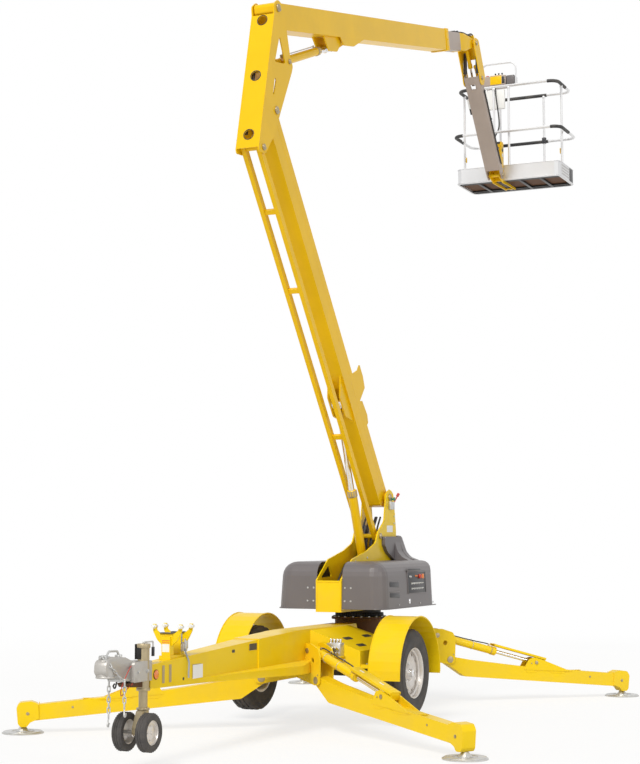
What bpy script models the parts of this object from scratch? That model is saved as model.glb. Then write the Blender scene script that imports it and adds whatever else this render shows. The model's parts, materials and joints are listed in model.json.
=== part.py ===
"""Towable articulating boom lift, parked on its four outriggers.

Metres, +Z up, +X towards the drawbar, +Y to the left-hand side.  The lift is built round
its slewing axis, and the frame's origin is the centre of its footprint on the ground.
"""

from math import atan2, ceil, cos, degrees, hypot, pi, radians, sin, tan

import bmesh
import bpy
from mathutils import Matrix, Vector

# Clearances
SEAT = 0.0003            # between pieces that bear on each other
PIN_FIT = 0.0005         # radial play of a pin in its eye and a rod in its gland
RUN = 0.006              # side play between moving pieces

# Where the slewing axis stands in the frame
SLEW_X = 0.215

# Wheels and axle
AXLE_X = 0.697
WHEEL_Z = 0.426
TYRE_RADIUS = 0.36
TYRE_WIDTH = 0.205
RIM_RADIUS = 0.203
FENDER_RADIUS = 0.463
FENDER_SHEET = 0.005
AXLE_HALF = 0.040
SPINDLE_RADIUS = 0.022

# Chassis
SPINE_HALF = 0.11
SPINE_TOP = 0.80
SPINE_LOW = 0.4665 + 0.004
FRAME_HALF = 0.50
FENDER_IN = FRAME_HALF + 0.066
FENDER_OUT = FENDER_IN + 0.276
TYRE_MIDDLE = FENDER_IN + 0.134
FRAME_FRONT = 1.16
FRAME_REAR = 0.23
DRAWBAR_END = 3.725
PEDESTAL_TOP = 0.845
PEDESTAL_RADIUS = 0.215
BEARING_TOP = 0.905
BEARING_RADIUS = 0.195

# Outriggers: local s runs outwards along the leg, z is height above ground
HINGE_Z = 0.405
LEG_HALF = 0.050
BRACKET_SHEET = 0.012
BRACKET_IN = LEG_HALF + RUN
LEG_PIN = 0.018
FOOT_REACH = 1.885
PAD_RADIUS = 0.164
PAD_TOP = 0.016
LEG_BASE = (-0.130, 0.632)
LEG_EYE = (0.915, 0.352)
LEG_FOLD = radians(95)

# Turret
TURRET_FLOOR = 0.9055
PLATE_OUT = 0.118
PLATE_SHEET = 0.012
PLATE_IN = PLATE_OUT - PLATE_SHEET
TURRET_FRONT = 0.67
TURRET_REAR = -0.60
COVER_HALF = 0.48
COVER_LOW = 0.93
COVER_TOP = 1.33
COVER_SHEET = 0.006

# Lower boom parallelogram, boom plane (x, z)
BOOM_FOOT = (-0.43, 1.90)
BOOM_REACH = 3.83
BOOM_REST = radians(52.4)
LINK_OFFSET = (0.23, -0.35)
BOOM_HALF = 0.080
BOOM_BACK = 0.046
BOOM_FACE = -0.149
BOOM_PIN = 0.025
LINK_IN = 0.047
LINK_OUT = 0.083
LINK_HALF = 0.027
LINK_PIN = 0.020
LIFT_BASE = (-0.22, 0.98)
LIFT_EYE = (1.17, -0.225)      # along and across the lower boom

# Riser, measured from the lower boom's head pin
RISER_HALF = 0.102
RISER_SHEET = 0.010
RISER_IN = RISER_HALF - RISER_SHEET
UPPER_PIN = (-0.023, 0.848)
UPPER_BASE = (-0.235, 0.462)

# Upper boom: u along it, v across it from the pivot
UPPER_REST = radians(13.3)
UPPER_HALF = 0.085
UPPER_TOP = 0.045
UPPER_LOW = -0.169
UPPER_WALL = 0.006
UPPER_LENGTH = 4.18
UPPER_EYE = (1.15, -0.262)
INNER_CLEAR = 0.007
INNER_START = 0.90
INNER_END = 4.62
TIP_REACH = 5.04
EXTEND = 2.4

# Jib and platform, measured from the boom tip pin
KNUCKLE_HALF = 0.100
KNUCKLE_SHEET = 0.009
KNUCKLE_IN = KNUCKLE_HALF - KNUCKLE_SHEET
JIB_FOOT = (-0.18, -0.34)
JIB_REACH = 1.186
JIB_REST = radians(-51.3)
JIB_HALF = 0.085
JIB_SHEET = 0.008
JIB_DEPTH = 0.050
JIB_PIN = 0.018
LEVEL_OFFSET = (0.007, 0.130)
LEVEL_SIDE = 0.030
JIB_BASE_REACH = 0.33
JIB_BASE_ANGLE = radians(66)
JIB_CRANK = 0.09
JIB_CRANK_ANGLE = JIB_BASE_ANGLE + radians(135)
JIB_CYLINDER_SIDE = -0.024
FLOOR_GAP = 0.12         # from the jib's end pin to the platform
FLOOR_LOW = -0.035       # platform underside from the jib's end pin
PLATFORM_DEPTH = 0.62
PLATFORM_HALF = 0.61
PLATFORM_MIDDLE = 0.10   # the platform sits to one side of the jib
TOE_BOARD = 0.175
RAIL_TUBE = 0.016
RAIL_TOP = 1.10
RAIL_MID = 0.56

# Drawbar end
JACK_X = 3.776
JACK_Y = 0.03
JACK_OUTER = 0.040
JACK_INNER = 0.030
JACK_TOP = 0.825
JACK_LOW = 0.512
JOCKEY_TRAIL = 0.075
JOCKEY_RADIUS = 0.130
JOCKEY_WIDTH = 0.075
JOCKEY_TRACK = 0.090
JOCKEY_Z = 0.246
COUPLER_X = DRAWBAR_END + SEAT

YELLOW = ((0.85, 0.60, 0.04), 0.45, 0.0)
GALVANIZED = ((0.62, 0.63, 0.64), 0.45, 0.9)
CHROME = ((0.80, 0.80, 0.80), 0.15, 1.0)
BRASS_PLATE = ((0.48, 0.42, 0.30), 0.45, 0.7)
COVER_GREY = ((0.22, 0.20, 0.21), 0.50, 0.0)
JIB_GREY = ((0.38, 0.31, 0.26), 0.50, 0.0)
RUBBER = ((0.035, 0.033, 0.033), 0.85, 0.0)
RIM_SILVER = ((0.66, 0.62, 0.56), 0.35, 0.9)
BLACK = ((0.03, 0.03, 0.03), 0.50, 0.2)
ALUMINIUM = ((0.75, 0.75, 0.77), 0.40, 0.9)


def new_collection(name):
    collection = bpy.data.collections.new(name)
    bpy.context.scene.collection.children.link(collection)
    return collection


for old in list(bpy.data.objects):
    bpy.data.objects.remove(old, do_unlink=True)
PARTS = new_collection("boom_lift")
GUIDES = new_collection("guides")


def pivot(name, parent, at, turn=0.0, lift=0.0):
    """Empty on a joint: its x axis points along `turn` in plan and `lift` above level."""
    empty = bpy.data.objects.new(name, None)
    GUIDES.objects.link(empty)
    empty.empty_display_size = 0.1
    empty.parent = parent
    empty.matrix_local = (
        Matrix.Translation(at)
        @ Matrix.Rotation(turn, 4, "Z")
        @ Matrix.Rotation(-lift, 4, "Y")
    )
    return empty


def piece(mesh):
    """A loose mesh as a temporary object."""
    shape = bpy.data.objects.new("piece", mesh)
    GUIDES.objects.link(shape)
    return shape


def from_bmesh(work):
    mesh = bpy.data.meshes.new("piece")
    bmesh.ops.recalc_face_normals(work, faces=work.faces)
    work.to_mesh(mesh)
    work.free()
    return piece(mesh)


def box(x, y, z, bevel=0.0):
    """Block between (low, high) pairs."""
    work = bmesh.new()
    bmesh.ops.create_cube(work, size=1.0)
    size = [high - low for low, high in (x, y, z)]
    middle = [(high + low) / 2 for low, high in (x, y, z)]
    bmesh.ops.scale(work, vec=size, verts=work.verts)
    bmesh.ops.translate(work, vec=middle, verts=work.verts)
    if bevel:
        bmesh.ops.bevel(work, geom=work.edges[:], offset=bevel, segments=2, affect="EDGES", profile=0.5)
    return from_bmesh(work)


def bar(radius, start, end, sides=12, end_radius=None):
    """Round bar or cone between two points."""
    start = Vector(start)
    end = Vector(end)
    along = end - start
    work = bmesh.new()
    bmesh.ops.create_cone(
        work, cap_ends=True, segments=sides, radius1=radius,
        radius2=radius if end_radius is None else end_radius, depth=along.length,
    )
    turn = Vector((0, 0, 1)).rotation_difference(along.normalized()).to_matrix().to_4x4()
    bmesh.ops.transform(work, matrix=Matrix.Translation((start + end) / 2) @ turn, verts=work.verts)
    return from_bmesh(work)


def cross_bar(radius, x, z, half, middle=0.0, sides=16):
    """Pin, tube or boss that lies across the boom plane."""
    return bar(radius, (x, middle - half, z), (x, middle + half, z), sides)


def hull(points):
    """Tapered block through a few corners."""
    work = bmesh.new()
    for point in points:
        work.verts.new(point)
    bmesh.ops.convex_hull(work, input=work.verts)
    return from_bmesh(work)


def collars(radius, x, z, inner, outer):
    """A ring on each side of the boom plane that fills the gap beside a boom's foot."""
    return [bar(radius, (x, side * inner, z), (x, side * outer, z)) for side in (-1, 1)]


def both_sides(points):
    """Corner points and their mirror images in y."""
    return [*points, *((x, -y, z) for x, y, z in points)]


ARC = radians(46)        # largest step of a plate's rounded corner


def rounded(corners, step=radians(30), closed=True):
    """Points of a path whose corners are (point, radius); works in the plane and in space."""
    points = []
    count = len(corners)
    for index, (corner, radius) in enumerate(corners):
        here = Vector(corner)
        ends = not closed and index in (0, count - 1)
        if radius == 0 or ends:
            points.append(here)
            continue
        before = (Vector(corners[index - 1][0]) - here).normalized()
        after = (Vector(corners[(index + 1) % count][0]) - here).normalized()
        half = before.angle(after) / 2
        if half > pi / 2 - 0.01:
            points.append(here)
            continue
        reach = radius / tan(half)
        centre = here + (before + after).normalized() * (radius / sin(half))
        first = here + before * reach - centre
        last = here + after * reach - centre
        sweep = first.angle(last)
        steps = max(1, ceil(sweep / step))
        for number in range(steps + 1):
            share = number / steps
            blend = first * sin((1 - share) * sweep) + last * sin(share * sweep)
            points.append(centre + blend / sin(sweep))
    return points


def circle(x, y, radius, sides=12):
    return [(x + radius * cos(2 * pi * k / sides), y + radius * sin(2 * pi * k / sides)) for k in range(sides)]


def outline_mesh(outlines, thickness):
    curve = bpy.data.curves.new("outline", "CURVE")
    curve.dimensions = "2D"
    curve.fill_mode = "BOTH"
    curve.extrude = thickness / 2
    for points in outlines:
        spline = curve.splines.new("POLY")
        spline.points.add(len(points) - 1)
        for knot, point in zip(spline.points, points):
            knot.co = (point[0], point[1], 0.0, 1.0)
        spline.use_cyclic_u = True
    shape = bpy.data.objects.new("outline", curve)
    mesh = bpy.data.meshes.new_from_object(shape)
    bpy.data.objects.remove(shape)
    return mesh


def welded(mesh):
    work = bmesh.new()
    work.from_mesh(mesh)
    bmesh.ops.remove_doubles(work, verts=work.verts, dist=1e-6)
    return from_bmesh(work)


LAY_FLAT = {
    "xz": Matrix.Rotation(pi / 2, 4, "X"),
    "yz": Matrix(((0, 0, 1, 0), (1, 0, 0, 0), (0, 1, 0, 0), (0, 0, 0, 1))),
    "xy": Matrix.Identity(4),
}
THROUGH = {"xz": Vector((0, 1, 0)), "yz": Vector((1, 0, 0)), "xy": Vector((0, 0, 1))}


def plate(corners, thickness, middle=0.0, plane="xz", holes=()):
    """Flat piece: corners are (a, b) or (a, b, radius) in its plane; middle is its place across."""
    points = rounded([((corner[0], corner[1]), corner[2] if len(corner) > 2 else 0) for corner in corners], ARC)
    shape = welded(outline_mesh([points, *holes], thickness))
    shape.data.transform(Matrix.Translation(THROUGH[plane] * middle) @ LAY_FLAT[plane])
    return shape


def pair(corners, thickness, middle, plane="xz", holes=()):
    """The same plate on both sides of the centre plane."""
    return [plate(corners, thickness, side * middle, plane, holes) for side in (-1, 1)]


def tube(corners, radius, closed=False, resolution=2):
    """Bent tube through (point, bend radius) corners."""
    points = rounded(corners, closed=closed)
    curve = bpy.data.curves.new("tube", "CURVE")
    curve.dimensions = "3D"
    curve.bevel_depth = radius
    curve.bevel_resolution = resolution
    curve.use_fill_caps = True
    spline = curve.splines.new("POLY")
    spline.points.add(len(points) - 1)
    for knot, point in zip(spline.points, points):
        knot.co = (*point, 1.0)
    spline.use_cyclic_u = closed
    shape = bpy.data.objects.new("tube", curve)
    mesh = bpy.data.meshes.new_from_object(shape)
    bpy.data.objects.remove(shape)
    return welded(mesh)


def turned(profile, sides, axis_at, across=True):
    """Solid of revolution about y through (x, z); profile is (radius, y) pairs, closed."""
    work = bmesh.new()
    ring = [work.verts.new((radius, y, 0.0)) for radius, y in profile]
    edges = [work.edges.new((ring[k], ring[(k + 1) % len(ring)])) for k in range(len(ring))]
    bmesh.ops.spin(
        work, geom=[*ring, *edges], cent=(0, 0, 0), axis=(0, 1, 0), angle=2 * pi, steps=sides,
        use_merge=True,
    )
    bmesh.ops.remove_doubles(work, verts=work.verts, dist=1e-6)
    bmesh.ops.translate(work, vec=(axis_at[0], 0, axis_at[1]), verts=work.verts)
    return from_bmesh(work)


def placed(shape, matrix):
    shape.data.transform(matrix)
    return shape


def mirrored(shapes):
    """Copies of shapes mirrored in the centre plane."""
    copies = []
    for shape in shapes:
        mesh = shape.data.copy()
        mesh.transform(Matrix.Diagonal((1, -1, 1, 1)))
        mesh.flip_normals()
        copies.append(piece(mesh))
    return copies


def solid(name, parent, look, add, cut=()):
    """One named sub-part: the union of `add` less `cut`, in its parent's frame."""
    base = add[0]
    for operation, others in (("UNION", add[1:]), ("DIFFERENCE", cut)):
        for other in others:
            change = base.modifiers.new(operation, "BOOLEAN")
            change.operation = operation
            change.solver = "EXACT"
            change.object = other
    bpy.context.view_layer.update()
    depsgraph = bpy.context.evaluated_depsgraph_get()
    mesh = bpy.data.meshes.new_from_object(base.evaluated_get(depsgraph), depsgraph=depsgraph)
    for shape in (*add, *cut):
        bpy.data.objects.remove(shape)
    work = bmesh.new()
    work.from_mesh(mesh)
    bmesh.ops.remove_doubles(work, verts=work.verts, dist=1e-6)
    bmesh.ops.dissolve_limit(work, angle_limit=radians(0.05), verts=work.verts, edges=work.edges)
    work.to_mesh(mesh)
    work.free()
    mesh.name = name
    mesh.shade_smooth()
    mesh.set_sharp_from_angle(angle=radians(32))
    colour, roughness, metallic = look
    material = bpy.data.materials.new(name)
    material.use_nodes = True
    shader = material.node_tree.nodes["Principled BSDF"]
    shader.inputs["Base Color"].default_value = (*colour, 1.0)
    shader.inputs["Roughness"].default_value = roughness
    shader.inputs["Metallic"].default_value = metallic
    mesh.materials.clear()
    mesh.materials.append(material)
    node = bpy.data.objects.new(name, mesh)
    PARTS.objects.link(node)
    node.parent = parent
    return node


def cylinder(name, mount, base, eye, barrel, rod, gland, travel_in, side=0.0, eye_half=0.025, extra=(), hinged=True):
    """Hydraulic cylinder from its base pin to its rod eye, (x, z) in the mount's frame."""
    along = hypot(eye[0] - base[0], eye[1] - base[1])
    lift = atan2(eye[1] - base[1], eye[0] - base[0])
    axis = pivot(f"{name}_barrel_axis", mount, (base[0], side, base[1]), lift=lift)
    eye_radius = rod + 0.014
    pin = rod * 0.72
    bottom = eye_radius + 0.006
    solid(
        f"{name}_barrel", axis, YELLOW,
        [
            bar(barrel, (pin + 0.012, 0, 0), (gland, 0, 0)),
            cross_bar(eye_radius, 0, 0, eye_half),
            bar(barrel + 0.004, (gland - 0.05, 0, 0), (gland - 0.004, 0, 0)),
        ],
        [
            cross_bar(pin + PIN_FIT, 0, 0, eye_half + 0.05),
            bar(rod + PIN_FIT, (bottom, 0, 0), (gland + 0.02, 0, 0)),
        ],
    )
    slide = pivot(f"{name}_rod_axis", axis, (along, 0, 0))
    inner = bottom + 0.008 + travel_in
    solid(
        f"{name}_rod", slide, CHROME,
        [
            bar(rod, (inner - along, 0, 0), (-pin - 0.002, 0, 0)),
            cross_bar(eye_radius, 0, 0, eye_half),
            *extra,
        ],
        [cross_bar(pin * 0.9, 0, 0, eye_half + 0.05)],
    )
    return axis, slide


MACHINE = pivot("machine", None, (SLEW_X, 0, 0))

# Outrigger frames: name, hinge (x, y), plan direction
HINGES = (
    ("front_left", 1.40, 0.28, radians(56.0)),
    ("front_right", 1.40, -0.28, radians(-56.0)),
    ("rear_left", -1.15, 0.40, radians(135.8)),
    ("rear_right", -1.15, -0.40, radians(-135.8)),
)


def leg_matrix(x, y, turn):
    return Matrix.Translation((x, y, 0)) @ Matrix.Rotation(turn, 4, "Z")


def leg_bracket(x, y, turn):
    """Two upright plates that carry a leg's hinge pin and its cylinder's base pin."""
    middle = BRACKET_IN + BRACKET_SHEET / 2
    side = [(-0.36, 0.42, 0.02), (-0.02, 0.365, 0.03), (0.05, 0.37, 0.03), (0.058, 0.60, 0.03),
            (0.03, 0.655, 0.02), (-0.08, 0.690, 0.03), (-0.19, 0.690, 0.03), (-0.36, 0.66, 0.02)]
    shapes = pair(side, BRACKET_SHEET, middle, holes=[circle(-0.05, 0.56, 0.022, 12)])
    reach = BRACKET_IN + BRACKET_SHEET + 0.004
    shapes.append(cross_bar(LEG_PIN, 0, HINGE_Z, reach))
    shapes.append(cross_bar(0.018 * 0.72, *LEG_BASE, reach))
    shapes.append(box((-0.36, -0.25), (-BRACKET_IN - 0.003, BRACKET_IN + 0.003), (0.44, 0.64)))
    return [placed(shape, leg_matrix(x, y, turn)) for shape in shapes]


def chassis():
    spine = [(2.2, 0.48), (2.2, 0.77), (1.5, SPINE_TOP), (0.33, SPINE_TOP), (0.25, 0.66), (-1.0, 0.64),
             (-1.10, 0.60), (-1.10, SPINE_LOW), (1.2, SPINE_LOW)]
    shapes = [plate(spine, 2 * SPINE_HALF)]
    shapes.append(hull(both_sides([
        (DRAWBAR_END, 0.055, 0.52), (DRAWBAR_END, 0.055, 0.680),
        (1.60, 0.115, 0.475), (1.60, 0.115, 0.797)])))
    shapes.append(hull(both_sides([
        (3.05, 0.075, 0.51), (3.05, 0.075, 0.545), (1.62, 0.21, 0.462), (1.62, 0.21, 0.53),
        (1.30, 0.16, 0.462), (1.30, 0.16, 0.56)])))
    shapes.append(hull(both_sides([
        (FRAME_FRONT, FRAME_HALF, 0.475), (FRAME_FRONT, FRAME_HALF, 0.625),
        (FRAME_FRONT + 0.12, 0.10, 0.475), (FRAME_FRONT + 0.12, 0.10, 0.795),
        (FRAME_REAR, FRAME_HALF, 0.475), (FRAME_REAR, FRAME_HALF, 0.625),
        (FRAME_REAR, 0.10, 0.475), (FRAME_REAR + 0.25, 0.10, 0.795)])))
    shapes.append(bar(PEDESTAL_RADIUS, (0, 0, SPINE_LOW + 0.01), (0, 0, PEDESTAL_TOP - 0.02), 24))
    shapes.append(bar(PEDESTAL_RADIUS + 0.03, (0, 0, PEDESTAL_TOP - 0.022), (0, 0, PEDESTAL_TOP), 24))
    shapes.append(box((-1.0, -0.80), (-0.26, 0.26), (0.475, 0.635)))
    for _, x, y, turn in HINGES:
        shapes.extend(leg_bracket(x, y, turn))
    solid("chassis_frame", MACHINE, YELLOW, shapes)


def axle():
    spindle = TYRE_MIDDLE + 0.045
    solid("axle", MACHINE, BLACK, [
        box((AXLE_X - AXLE_HALF, AXLE_X + AXLE_HALF), (0.001 - FENDER_IN, FENDER_IN - 0.001), (WHEEL_Z - AXLE_HALF, WHEEL_Z + AXLE_HALF)),
        bar(SPINDLE_RADIUS, (AXLE_X, -spindle, WHEEL_Z), (AXLE_X, spindle, WHEEL_Z)),
        box((AXLE_X - 0.14, AXLE_X - 0.02), (0.06 - FRAME_HALF, 0.14 - FRAME_HALF), (WHEEL_Z, 0.475 - SEAT)),
        box((AXLE_X - 0.14, AXLE_X - 0.02), (FRAME_HALF - 0.14, FRAME_HALF - 0.06), (WHEEL_Z, 0.475 - SEAT)),
    ])


def fender(side, name):
    outer = [((AXLE_X + FENDER_RADIUS * cos(a)), (WHEEL_Z + FENDER_RADIUS * sin(a)))
             for a in (radians(-4 + 188 * k / 20) for k in range(21))]
    thin = FENDER_RADIUS - FENDER_SHEET
    inner = [((AXLE_X + thin * cos(a)), (WHEEL_Z + thin * sin(a)))
             for a in (radians(184 - 188 * k / 20) for k in range(21))]
    middle = side * (FENDER_IN + FENDER_OUT) / 2
    strap_y = (FRAME_HALF + SEAT, FENDER_IN + 0.028) if side > 0 else (-FENDER_IN - 0.028, -FRAME_HALF - SEAT)
    drop = sqrt_drop(thin, 0.09)
    solid(name, MACHINE, YELLOW, [
        plate([*outer, *inner], FENDER_OUT - FENDER_IN, middle),
        box((AXLE_X - drop - 0.003, AXLE_X - drop + 0.045), strap_y, (WHEEL_Z + 0.062, WHEEL_Z + 0.09)),
        box((AXLE_X + drop - 0.045, AXLE_X + drop + 0.003), strap_y, (WHEEL_Z + 0.062, WHEEL_Z + 0.09)),
    ])


def sqrt_drop(radius, height):
    """Half chord of a circle at a height above its centre."""
    return (radius * radius - height * height) ** 0.5


def wheel(side, name):
    hub = pivot(f"wheel_{name}_axis", MACHINE, (AXLE_X, side * TYRE_MIDDLE, WHEEL_Z))
    half = TYRE_WIDTH / 2
    profile = [(RIM_RADIUS + SEAT, -0.085), (0.230, -0.098), (0.300, -half), (0.340, -0.088), (TYRE_RADIUS, -0.066),
               (TYRE_RADIUS, 0.066), (0.340, 0.088), (0.300, half), (0.230, 0.098), (RIM_RADIUS + SEAT, 0.085)]
    solid(f"tyre_{name}", hub, RUBBER, [turned(profile, 28, (0, 0))])
    out = side
    lip = [(RIM_RADIUS, -0.084), (RIM_RADIUS, 0.084), (0.190, 0.084), (0.175, 0.045), (0.175, -0.06),
           (0.190, -0.084)]
    centre = [(0.052, 0.052), (SPINDLE_RADIUS + PIN_FIT, 0.052), (SPINDLE_RADIUS + PIN_FIT, -0.045), (0.052, -0.045)]
    ring = [(0.142 * cos(pi * k / 3 + 0.17), 0.142 * sin(pi * k / 3 + 0.17)) for k in range(6)]
    holes = [circle(0, 0, 0.035), *(circle(x, z, 0.022, 8) for x, z in ring)]
    shapes = [
        turned([(r, out * y) for r, y in lip], 28, (0, 0)),
        turned([(r, out * y) for r, y in centre], 12, (0, 0)),
        plate(circle(0, 0, 0.184, 28), 0.008, out * 0.030, holes=holes),
        bar(0.034, (0, out * 0.047, 0), (0, out * 0.085, 0), 12, 0.028),
    ]
    solid(f"rim_{name}", hub, RIM_SILVER, shapes)


def chain(x, y, top, count):
    """Hanging safety chain: flat links turned a quarter to each other, joined where they cross."""
    pitch = 0.0525
    link = [(0.014, 0.029, 0.010), (0.014, -0.029, 0.010), (-0.014, -0.029, 0.010), (-0.014, 0.029, 0.010)]
    slot = rounded([((0.006, 0.020), 0.005), ((0.006, -0.020), 0.005), ((-0.006, -0.020), 0.005),
                    ((-0.006, 0.020), 0.005)], step=radians(91))
    links = []
    for k in range(count):
        quarter = Matrix.Rotation(radians(20 + 90 * (k % 2)), 4, "Z")
        links.append(placed(plate(link, 0.006, holes=[slot]), Matrix.Translation((x, y, top - k * pitch)) @ quarter))
    return links


def coupler():
    x = COUPLER_X
    body = [(x, 0.575), (x, 0.712), (x + 0.25, 0.718, 0.01), (x + 0.30, 0.752, 0.01), (x + 0.45, 0.765, 0.03),
            (x + 0.55, 0.735, 0.03), (x + 0.555, 0.66, 0.02), (x + 0.53, 0.64, 0.01), (x + 0.40, 0.63, 0.01),
            (x + 0.36, 0.60), (x + 0.26, 0.575)]
    shapes = [
        plate([(x, 0.575), (x, 0.712), (x + 0.24, 0.712, 0.03), (x + 0.24, 0.575, 0.02)], 0.14),
        plate([(x, 0.53), (x, 0.585), (x + 0.27, 0.585), (x + 0.24, 0.548)], 0.094),
        plate(body, 0.10),
        bar(0.060, (x + 0.485, 0, 0.625), (x + 0.485, 0, 0.745), 16, 0.045),
        box((x + 0.33, x + 0.46), (-0.012, 0.012), (0.75, 0.79)),
        box((x + 0.325, x + 0.355), (-0.065, 0.065), (0.590, 0.625)),
    ]
    for side, links in ((-1, 5), (1, 4)):
        shapes.extend(chain(x + 0.34, side * 0.060, 0.575, links))
    hole = bar(JACK_OUTER + SEAT, (JACK_X, JACK_Y, 0.4), (JACK_X, JACK_Y, 0.9), 16)
    socket = bar(0.026, (x + 0.485, 0, 0.60), (x + 0.485, 0, 0.68), 12)
    solid("coupler", MACHINE, GALVANIZED, shapes, [hole, socket])


def jack():
    x, y = JACK_X, JACK_Y
    solid("jack_mast", MACHINE, BRASS_PLATE, [
        bar(JACK_OUTER, (x, y, JACK_LOW), (x, y, JACK_TOP - 0.02), 16),
        bar(JACK_OUTER + 0.006, (x, y, JACK_TOP - 0.03), (x, y, JACK_TOP), 16),
        bar(JACK_OUTER + 0.007, (x, y, JACK_LOW), (x, y, 0.5295), 16),
    ], [bar(JACK_INNER + PIN_FIT, (x, y, 0.4), (x, y, JACK_TOP - 0.04), 16)])
    slide = pivot("jack_axis", MACHINE, (x, y, JOCKEY_Z))
    top = 0.14
    solid("jack_tube", slide, CHROME, [
        bar(JACK_INNER, (0, 0, top), (0, 0, 0.42), 16),
        bar(0.045, (0, 0, top - 0.002), (0, 0, top + 0.014), 20),
        bar(0.012, (0, 0, 0.06), (0, 0, top + 0.01), 12),
        bar(0.020, (0, 0, 0.045), (0, 0, 0.062), 12),
    ])
    swivel = pivot("jockey_swivel_axis", slide, (0, 0, 0))
    fork = [(-0.035, top - 0.006), (-0.035, top - 0.040), (JOCKEY_TRAIL - 0.03, -0.024, 0.02),
            (JOCKEY_TRAIL + 0.025, -0.024, 0.02), (JOCKEY_TRAIL + 0.025, 0.030, 0.02), (0.045, top - 0.006)]
    solid("jockey_fork", swivel, BRASS_PLATE, [
        plate(fork, 0.052),
        bar(0.038, (0, 0, top - 0.035), (0, 0, top - 0.0028), 20),
    ], [
        bar(0.0125, (0, 0, 0.0), (0, 0, top + 0.02), 12),
        box((-0.05, 0.03), (-0.028, 0.028), (0.0, top - 0.042)),
        cross_bar(0.0125, JOCKEY_TRAIL, 0, 0.05),
    ])
    axle_at = pivot("jockey_axis", swivel, (JOCKEY_TRAIL, 0, 0))
    half = JOCKEY_WIDTH / 2
    wheel_profile = [(0.040, -0.020), (0.078, -0.026), (0.082, -half), (0.118, -half), (JOCKEY_RADIUS, -half + 0.016),
                     (JOCKEY_RADIUS, half - 0.016), (0.118, half), (0.082, half), (0.078, 0.026), (0.040, 0.020),
                     (0.008, 0.020), (0.008, -0.020)]
    shapes = [cross_bar(0.012, 0, 0, JOCKEY_TRACK + 0.03)]
    for side in (-1, 1):
        shapes.append(turned([(r, y + side * JOCKEY_TRACK) for r, y in wheel_profile], 16, (0, 0)))
    solid("jockey_wheels", axle_at, RUBBER, shapes)


def boom_rest():
    """Travel rest: two forked plates on posts, one behind the other on the drawbar."""
    near, far = 3.40, 3.25
    slope = (0.797 - 0.680) / (DRAWBAR_END - 1.60)

    def deck(x):
        return 0.680 + (DRAWBAR_END - x) * slope

    tip = 0.935
    half = [(0.034, 0.785), (0.080, 0.825, 0.03), (0.112, 0.885, 0.02), (0.116, tip), (0.094, tip), (0.086, 0.895, 0.01),
            (0.056, 0.870, 0.02)]
    fork = [*half, *((-y, z, *soft) for y, z, *soft in reversed(half))]
    shapes = []
    for x in (near, far):
        shapes.append(plate(fork, 0.014, x, "yz"))
        shapes.append(box((x - 0.025, x + 0.025), (-0.034, 0.034), (deck(x) + 0.004, 0.85)))
        for side in (-1, 1):
            shapes.append(bar(0.008, (x - 0.022, side * 0.104, tip - 0.018), (x + 0.022, side * 0.104, tip - 0.018), 8))
    shapes.append(box((far - 0.04, near + 0.04), (-0.045, 0.045), (deck(near) - 0.02, deck(far) + 0.014)))
    under = hull(both_sides([
        (far - 0.3, 0.2, 0.4), (near + 0.3, 0.2, 0.4),
        (far - 0.3, 0.2, deck(far - 0.3) + SEAT), (near + 0.3, 0.2, deck(near + 0.3) + SEAT)]))
    solid("boom_rest", MACHINE, YELLOW, shapes, [under])


def slew_bearing():
    solid("slew_bearing", MACHINE, BLACK, [
        bar(BEARING_RADIUS, (0, 0, PEDESTAL_TOP + SEAT), (0, 0, TURRET_FLOOR), 24),
        bar(BEARING_RADIUS + 0.02, (0, 0, PEDESTAL_TOP + 0.012), (0, 0, PEDESTAL_TOP + 0.034), 24),
    ])


def outrigger(name, x, y, turn):
    stand = pivot(f"{name}_stand", MACHINE, (x, y, 0), turn)
    hinge = pivot(f"{name}_leg_axis", stand, (0, 0, HINGE_Z))
    drop = HINGE_Z
    foot = FOOT_REACH
    side = [(-0.035, 0.442, 0.03), (0.24, 0.392, 0.02), (0.84, 0.311), (foot - 0.085, 0.222), (foot - 0.085, 0.099),
            (0.16, 0.243, 0.03), (-0.038, 0.372, 0.03)]
    lug = [(0.78, 0.29), (0.84, 0.385, 0.015), (0.90, 0.400, 0.02), (1.02, 0.362, 0.01), (1.30, 0.255)]
    knuckle = [(foot - 0.125, 0.115), (foot - 0.115, 0.232, 0.01), (foot - 0.065, 0.250, 0.02),
               (foot + 0.030, 0.242, 0.03), (foot + 0.053, 0.20, 0.02), (foot + 0.040, 0.075, 0.02),
               (foot + 0.020, 0.052, 0.015), (foot - 0.030, 0.052, 0.015), (foot - 0.055, 0.085, 0.02)]

    def lowered(corners):
        return [(c[0], c[1] - drop, *c[2:]) for c in corners]

    shapes = [plate(lowered(side), 2 * LEG_HALF)]
    shapes += pair(lowered(lug), 0.010, 0.0445 + 0.005)
    shapes.append(plate(lowered(knuckle), 2 * LEG_HALF + 0.016))
    solid(f"{name}_leg", hinge, YELLOW, shapes, [cross_bar(LEG_PIN + PIN_FIT, 0, 0, 0.1)])
    solid(f"{name}_pad", hinge, GALVANIZED, [
        bar(PAD_RADIUS, (FOOT_REACH, 0, -drop), (FOOT_REACH, 0, -drop + 0.008), 24),
        bar(PAD_RADIUS, (FOOT_REACH, 0, -drop + 0.008), (FOOT_REACH, 0, -drop + PAD_TOP), 24, PAD_RADIUS - 0.02),
        bar(0.055, (FOOT_REACH, 0, -drop + PAD_TOP - 0.004), (FOOT_REACH, 0, -drop + 0.052 - SEAT), 12, 0.024),
    ])
    guard = [
        box((-0.47, 0.10), (-0.048, 0.048), (0.062, 0.068)),
        box((0.010, 0.10), (-0.041, 0.041), (0.0, 0.064)),
    ]
    cylinder(name, stand, LEG_BASE, LEG_EYE, 0.036, 0.018, 0.655, 0.42, eye_half=0.042, extra=guard)


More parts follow.
